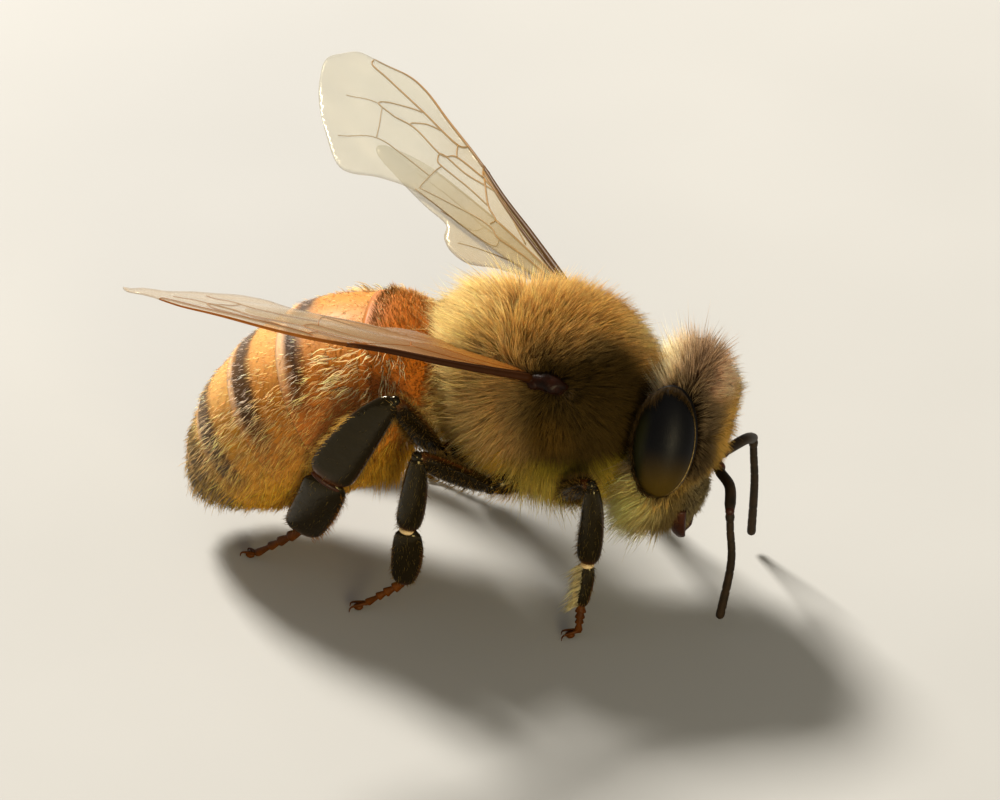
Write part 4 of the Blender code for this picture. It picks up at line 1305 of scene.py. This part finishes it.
def add_legs():
    rng = np.random.default_rng(31)
    batches = []
    for pair in LEGS:
        for name, side in SIDES:
            label = "%s_%s" % (pair, name)
            joints = leg_joints(pair, side)
            ends = list(zip(joints, joints[1:]))
            limb = [limb_shape(piece, pair, *both) for piece, both in zip(PIECES, ends)]
            knobs = joined([ball(joints[TROCHANTER], 0.17), ball(joints[KNEE], 0.11)])
            point = joints[HEEL] + (joints[ANKLE] - joints[HEEL]) * 0.2 + (0.06, 0, 0)
            spur = sweep(np.linspace(joints[HEEL], point, 5), np.linspace(0.03, 0.006, 5), sides=8)
            tints = [limb_tint(shape, *both) for shape, both in zip(limb, ends)]
            tints += [np.full_like(knobs[0], BLACK * 0.6), np.full_like(spur[0], (0.1, 0.028, 0.006))]
            nodes = ["leg_%s_%s" % (label, piece) for piece in PIECES]
            add_piece("leg_" + label, joined([*limb, knobs, spur]), DARK, nodes,
                      tint=np.vstack(tints))
            add_piece("foot_" + label, joined(foot_shapes(joints)), RED,
                      ("leg_%s_foot" % label,))
            add_piece("leg_cuff_" + label, cuff_shape(pair, joints), MAROON if pair == "hind" else PALE)
            batches += leg_coat(rng, pair, joints, limb)
    add_coat("leg_coat", batches, leg_unwrap)


def leg_unwrap(roots):
    """Six columns, by side and by place along the bee, each by turn about an upright line and by height."""
    x, y, z = roots.T
    column = (y > 0) * 3 + np.clip(np.round((x + 5.0) / 3.0), 0, 2)
    turn = np.arctan2(np.abs(y) - 2.0, x + 3.0 - column) / TAU + 0.5
    return np.stack([column + 0.9 * turn, z], axis=1)


# ---------------------------------------------------------------- wings

FOREWING = ((0.3, -0.14), (1.03, -0.32), (2.24, -0.59), (3.49, -0.84), (4.56, -1.14), (5.27, -1.31),
            (6.28, -1.51), (7.19, -1.69), (7.89, -1.7), (8.63, -1.45), (9.06, -1.2), (9.12, -0.58),
            (8.61, -0.02), (8.02, 0.43), (7.15, 0.91), (6.25, 1.3), (5.8, 1.22), (5.4, 0.86),
            (4.9, 0.6), (4.31, 0.5), (3.35, 0.45), (2.43, 0.37), (1.3, 0.24), (0.3, 0.02))
HINDWING = ((0.6, -0.1), (2.0, -0.33), (3.6, -0.36), (5.0, -0.28), (5.9, -0.1), (6.3, 0.14),
            (6.1, 0.38), (5.2, 0.5), (4.2, 0.58), (3.5, 0.6), (3.2, 0.87), (2.75, 1.01),
            (2.25, 0.94), (1.75, 0.55), (1.2, 0.25), (0.6, 0.06))
# Veins: points along the wing and across it, then half widths at their two ends
COSTA = ((0.3, -0.14), (1.03, -0.32), (2.24, -0.59), (3.49, -0.84), (4.56, -1.14))
FORE_VEINS = (
    (COSTA, 0.09, 0.048),
    (((0.35, -0.06), (1.03, -0.22), (2.24, -0.47), (3.4, -0.73), (4.4, -1.02)), 0.065, 0.03),
    (((4.3, -1.08), (4.56, -1.14), (5.27, -1.31), (6.28, -1.51), (7.19, -1.69), (7.89, -1.7),
      (8.63, -1.45)), 0.046, 0.016),
    (((5.27, -1.31), (5.38, -1.14), (5.93, -1.14), (6.67, -1.2), (7.85, -1.26), (8.47, -1.27),
      (8.63, -1.42)), 0.026, 0.018),
    (((5.39, -1.12), (5.24, -0.98), (5.08, -0.86)), 0.02, 0.02),
    (((4.2, -0.89), (5.08, -0.86), (5.33, -0.64), (6.33, -0.73), (6.84, -0.6)), 0.022, 0.018),
    (((5.97, -1.13), (6.28, -1.0), (6.49, -0.8), (6.47, -0.71)), 0.018, 0.018),
    (((6.65, -1.18), (6.98, -1.02), (7.31, -0.8), (7.34, -0.57), (6.84, -0.6)), 0.018, 0.016),
    (((4.56, -1.14), (4.2, -0.89), (3.57, -0.85)), 0.022, 0.022),
    (((4.2, -0.89), (3.44, -0.42), (2.99, -0.26), (2.91, -0.07)), 0.024, 0.02),
    (((3.57, -0.85), (4.52, -0.69), (5.31, -0.68), (5.21, -0.47), (4.98, -0.4), (4.2, -0.45),
      (3.44, -0.42)), 0.02, 0.018),
    (((4.98, -0.4), (4.86, -0.01), (4.73, 0.28), (4.65, 0.41)), 0.018, 0.016),
    (((4.86, -0.01), (5.74, 0.02), (6.45, 0.15), (6.97, 0.74)), 0.016, 0.01),
    (((6.45, 0.15), (6.99, -0.36), (7.34, -0.57), (7.95, -0.21)), 0.014, 0.01),
    (((0.4, -0.04), (1.03, -0.16), (1.97, -0.22), (2.96, -0.24)), 0.03, 0.022),
    (((0.5, 0.0), (1.56, -0.02), (2.41, 0.08), (2.83, -0.01), (3.5, 0.07), (4.65, 0.41)), 0.026, 0.014),
    (((2.41, 0.08), (2.36, 0.3), (3.35, 0.43), (4.68, 0.5)), 0.016, 0.012),
    (((3.57, -0.85), (2.9, -0.6), (2.03, -0.3)), 0.018, 0.018),
)
HIND_VEINS = (
    (((0.6, -0.08), (2.0, -0.31), (3.6, -0.34), (5.0, -0.26)), 0.03, 0.014),
    (((0.7, -0.02), (1.9, -0.1), (3.0, 0.0), (3.9, -0.02), (5.2, 0.05)), 0.02, 0.01),
    (((3.0, 0.0), (3.1, 0.25), (3.9, 0.42)), 0.014, 0.01),
    (((0.7, 0.02), (1.6, 0.15), (2.3, 0.4), (2.9, 0.75)), 0.018, 0.01),
)
MEMBRANE_TINT = {"left": (0.44, 0.41, 0.31), "right": (0.44, 0.31, 0.17)}
STAIN_TINT = {"left": (0.42, 0.31, 0.14), "right": (0.26, 0.085, 0.008)}
VEIN_TINT = {"left": (0.26, 0.135, 0.035), "right": (0.26, 0.08, 0.01)}
COSTA_TINT = {"left": (0.075, 0.034, 0.01), "right": (0.028, 0.008, 0.001)}
WING_SHEET = 0.016          # half thickness of the membrane
GRID = 0.085                # spacing of its points


def wing_axes(name, side):
    """Unit vectors along a wing, across it towards its trailing edge, and up from it."""
    sweep_back, rise, pitch = (math.radians(angle) for angle in WING_POSE[name])
    along = np.array((-math.cos(sweep_back) * math.cos(rise), side * math.sin(sweep_back) * math.cos(rise),
                      math.sin(rise)))
    level = unit(np.cross(along, (0, 0, 1)) * -side)
    top = np.cross(along, level) * side
    return (along, level * math.cos(pitch) - top * math.sin(pitch),
            top * math.cos(pitch) + level * math.sin(pitch))


def wing_relief(flat):
    """Height of the membrane over the wing's plane: a slight camber and fine pleats from the root."""
    along, across = flat.T
    pleats = 0.02 * np.sin(across * 9 + along * 0.8) * smoothstep(0.5, 2.5, along)
    ripple = 0.008 * np.sin(along * 3.1 + across * 5.0)
    return 0.05 * np.sin(np.clip((across + 1.5) / 2.6, 0, 1) * math.pi) + (pleats + ripple) * 0.7


def inside_outline(points, outline):
    x, y = points.T
    hit = np.zeros(len(points), bool)
    for (x0, y0), (x1, y1) in zip(outline, np.roll(outline, -1, axis=0)):
        crosses = (y0 > y) != (y1 > y)
        hit ^= crosses & (x < (x1 - x0) * (y - y0) / (y1 - y0 + 1e-12) + x0)
    return hit


def membrane(outline, lift):
    """A thin closed sheet over an outline, with the camber of the wing: flat points and faces."""
    rim = smooth_path([(*point, 0.0) for point in (*outline, outline[0])], 5)[:-1, :2]
    steps = [np.arange(low, high, GRID) for low, high in zip(rim.min(0), rim.max(0))]
    grid = np.stack(np.meshgrid(*steps), axis=-1).reshape(-1, 2)
    grid = grid[inside_outline(grid, rim)]
    clear = np.linalg.norm(grid[:, None] - rim[None], axis=2).min(1) > GRID * 0.6
    count = len(rim)
    edges = [(k, (k + 1) % count) for k in range(count)]
    spots = [Vector(point) for point in (*rim, *grid[clear])]
    found = geometry.delaunay_2d_cdt(spots, edges, [], 1, 1e-6)
    flat, tris = (np.array([tuple(item) for item in found[k]]) for k in (0, 2))
    height = wing_relief(flat) + lift
    top = np.column_stack([flat, height + WING_SHEET])
    bottom = np.column_stack([flat, height - WING_SHEET])
    total = len(flat)
    border = np.arange(count)
    after = (border + 1) % count
    wall = np.stack([border, after, after + total, border + total], axis=1)
    return np.vstack([top, bottom]), [tris, tris[:, ::-1] + total, wall]


def veins(table, lift, name):
    shapes, tints = [], []
    for points, start, end in table:
        path = smooth_path([(*point, 0.0) for point in points], 7)
        path[:, 2] = wing_relief(path[:, :2]) + lift
        share = np.linspace(0, 1, len(path))
        radius = start + (end - start) * share
        shape = sweep(path, radius, radius * 0.85, wide=(0.0, 0.001, 1.0), sides=8)
        shapes.append(shape)
        dark = smoothstep(0.022, 0.05, np.repeat(radius, 8)) * smoothstep(6.5, 4.0, shape[0][:-2, 0])
        colour = mixed(VEIN_TINT[name], COSTA_TINT[name], dark)
        tints.append(np.vstack([colour, colour[:1], colour[-1:]]))
    return joined(shapes), np.vstack(tints)


def wing_place(points, name, side):
    """Points drawn flat, along and across a wing and up from it, in the bee's frame."""
    along, across, up = points.T
    twist = np.radians(WING_TWIST[name]) * along
    flat = np.stack([along, across * np.cos(twist) - up * np.sin(twist),
                     up * np.cos(twist) + across * np.sin(twist) - WING_DROOP[name] * along ** 2], axis=1)
    return flat @ np.stack(wing_axes(name, side)) + np.array(WING_ROOT) * (1, side, 1)


def membrane_tint(points, name):
    """The sheet's colour, stained brown at its root and along its leading edge."""
    along, across, _ = points.T
    front = smoothstep(0.4, -1.1, across + 0.14 * along - 0.2) * smoothstep(7.5, 4.0, along)
    stain = np.maximum(front * 0.85, 0.95 * smoothstep(6.0, 1.5, along))
    return mixed(MEMBRANE_TINT[name], STAIN_TINT[name], stain)


def scale_shape(name, side):
    """The domed scale over a wing's root, with the knuckle behind it and the wing's stalk."""
    root, at = (np.array(spot) * (1, side, 1) for spot in (WING_ROOT, TEGULA_CENTRE))
    points, faces = ellipsoid((0, 0, 0), (0.37, 0.22, 0.2), turned(14, "Y"), 40, 28)
    points = points * (1 + 0.14 * wander(points, 9.0))[:, None] + at + (-0.1, -0.33 * side, 0.0)
    knuckle = ellipsoid(at + (-0.4, -0.28 * side, 0.0), (0.15, 0.14, 0.13), None, 24, 16)
    path = smooth_path([root + (0.25, 0.1 * side, -0.05), root + (0.05, 0.12 * side, 0),
                        wing_place(np.array([(0.5, -0.1, 0.0)]), name, side)[0]], 8)
    stalk = sweep(path, np.linspace(0.16, 0.08, len(path)), sides=14)
    return joined([(points, faces), knuckle, stalk])


def add_wings():
    for name, side in SIDES:
        for wing, outline, table, lift in (("forewing_", FOREWING, FORE_VEINS, 0.0),
                                           ("hindwing_", HINDWING, HIND_VEINS, -0.1)):
            points, faces = membrane(outline, lift)
            add_piece(wing + "membrane_" + name, (wing_place(points, name, side), faces), MEMBRANE,
                      (wing + name,), tint=membrane_tint(points, name))
            (points, faces), tint = veins(table, lift, name)
            add_piece(wing + "veins_" + name, (wing_place(points, name, side), faces), VEIN,
                      tint=tint)
        add_piece("wing_scale_" + name, scale_shape(name, side), SCALE,
                  ("tegula_" + name,))


# ---------------------------------------------------------------- floor, light and camera

CAMERA_AZIMUTH = math.radians(-77)
CAMERA_RISE = math.radians(32)
VIEW_WIDTH = 20.0           # millimetres across the picture
DISTANCE = 400.0
SENSOR = 36.0
AIM = (-1.16, -0.28)        # middle of the picture from the thorax: to the right and up, in millimetres
FLOOR_HALF = 300.0
# Lights: direction to the right, up and towards the camera, distance, size, power in watts, colour
LIGHTS = {"key": ((-0.35, 0.85, -0.2), 220, 52, 1.2, (1.0, 0.94, 0.84)),
          "front": ((0.2, 0.1, 0.9), 160, 120, 0.02, (1.0, 0.95, 0.85)),
          "low": ((0.25, -0.38, 0.9), 160, 50, 0.17, (1.0, 0.85, 0.5))}


def view_axes():
    """Right, up and towards the camera, in the world."""
    back = np.array((math.sin(CAMERA_AZIMUTH) * math.cos(CAMERA_RISE),
                     -math.cos(CAMERA_AZIMUTH) * math.cos(CAMERA_RISE), math.sin(CAMERA_RISE)))
    right = unit(np.cross((0, 0, 1), back))
    return right, np.cross(back, right), back


def add_camera():
    right, up, back = view_axes()
    aim = MIDDLE + right * AIM[0] + up * AIM[1]
    data = bpy.data.cameras.new("camera")
    data.sensor_width = SENSOR
    data.lens = SENSOR * DISTANCE / VIEW_WIDTH
    data.clip_start = 0.01
    camera = bpy.data.objects.new("camera", data)
    turn = Matrix(np.stack([right, up, back], axis=1).tolist()).to_4x4()
    camera.matrix_world = Matrix.Translation(Vector((aim + back * DISTANCE) * MM)) @ turn
    bpy.context.scene.collection.objects.link(camera)
    bpy.context.scene.camera = camera


def add_light(name, direction, distance, size, power, colour):
    """A square soft light that looks at the bee from a direction given in the view's axes."""
    right, up, back = view_axes()
    away = unit(right * direction[0] + up * direction[1] + back * direction[2])
    data = bpy.data.lights.new(name, "AREA")
    data.size = size * MM
    data.energy = power
    data.color = colour
    light = bpy.data.objects.new(name, data)
    light.matrix_world = (Matrix.Translation(Vector((MIDDLE + away * distance) * MM))
                          @ Vector(away).to_track_quat("Z", "Y").to_matrix().to_4x4())
    bpy.context.scene.collection.objects.link(light)


def add_studio():
    corners = np.array(((-1, -1, 0), (1, -1, 0), (1, 1, 0), (-1, 1, 0))) * FLOOR_HALF * MM
    floor = raw_mesh("floor", corners, [np.array([(0, 1, 2, 3)])])
    floor.materials.append(floor_finish())
    plane = bpy.data.objects.new("floor", floor)
    bpy.context.scene.collection.objects.link(plane)
    for name, settings in LIGHTS.items():
        add_light(name, *settings)
    world = bpy.data.worlds.new("studio")
    world.use_nodes = True
    sky = world.node_tree.nodes["Background"].inputs
    sky["Color"].default_value = (1.0, 0.95, 0.86, 1.0)
    sky["Strength"].default_value = 0.26
    bpy.context.scene.world = world
    bpy.context.scene.view_settings.view_transform = "Standard"


add_camera()
add_studio()
add_body()
add_eyes()
add_mouth()
add_antennae()
add_abdomen()
add_legs()
add_wings()
add_thorax_coat()
add_head_coat()
add_abdomen_coat()
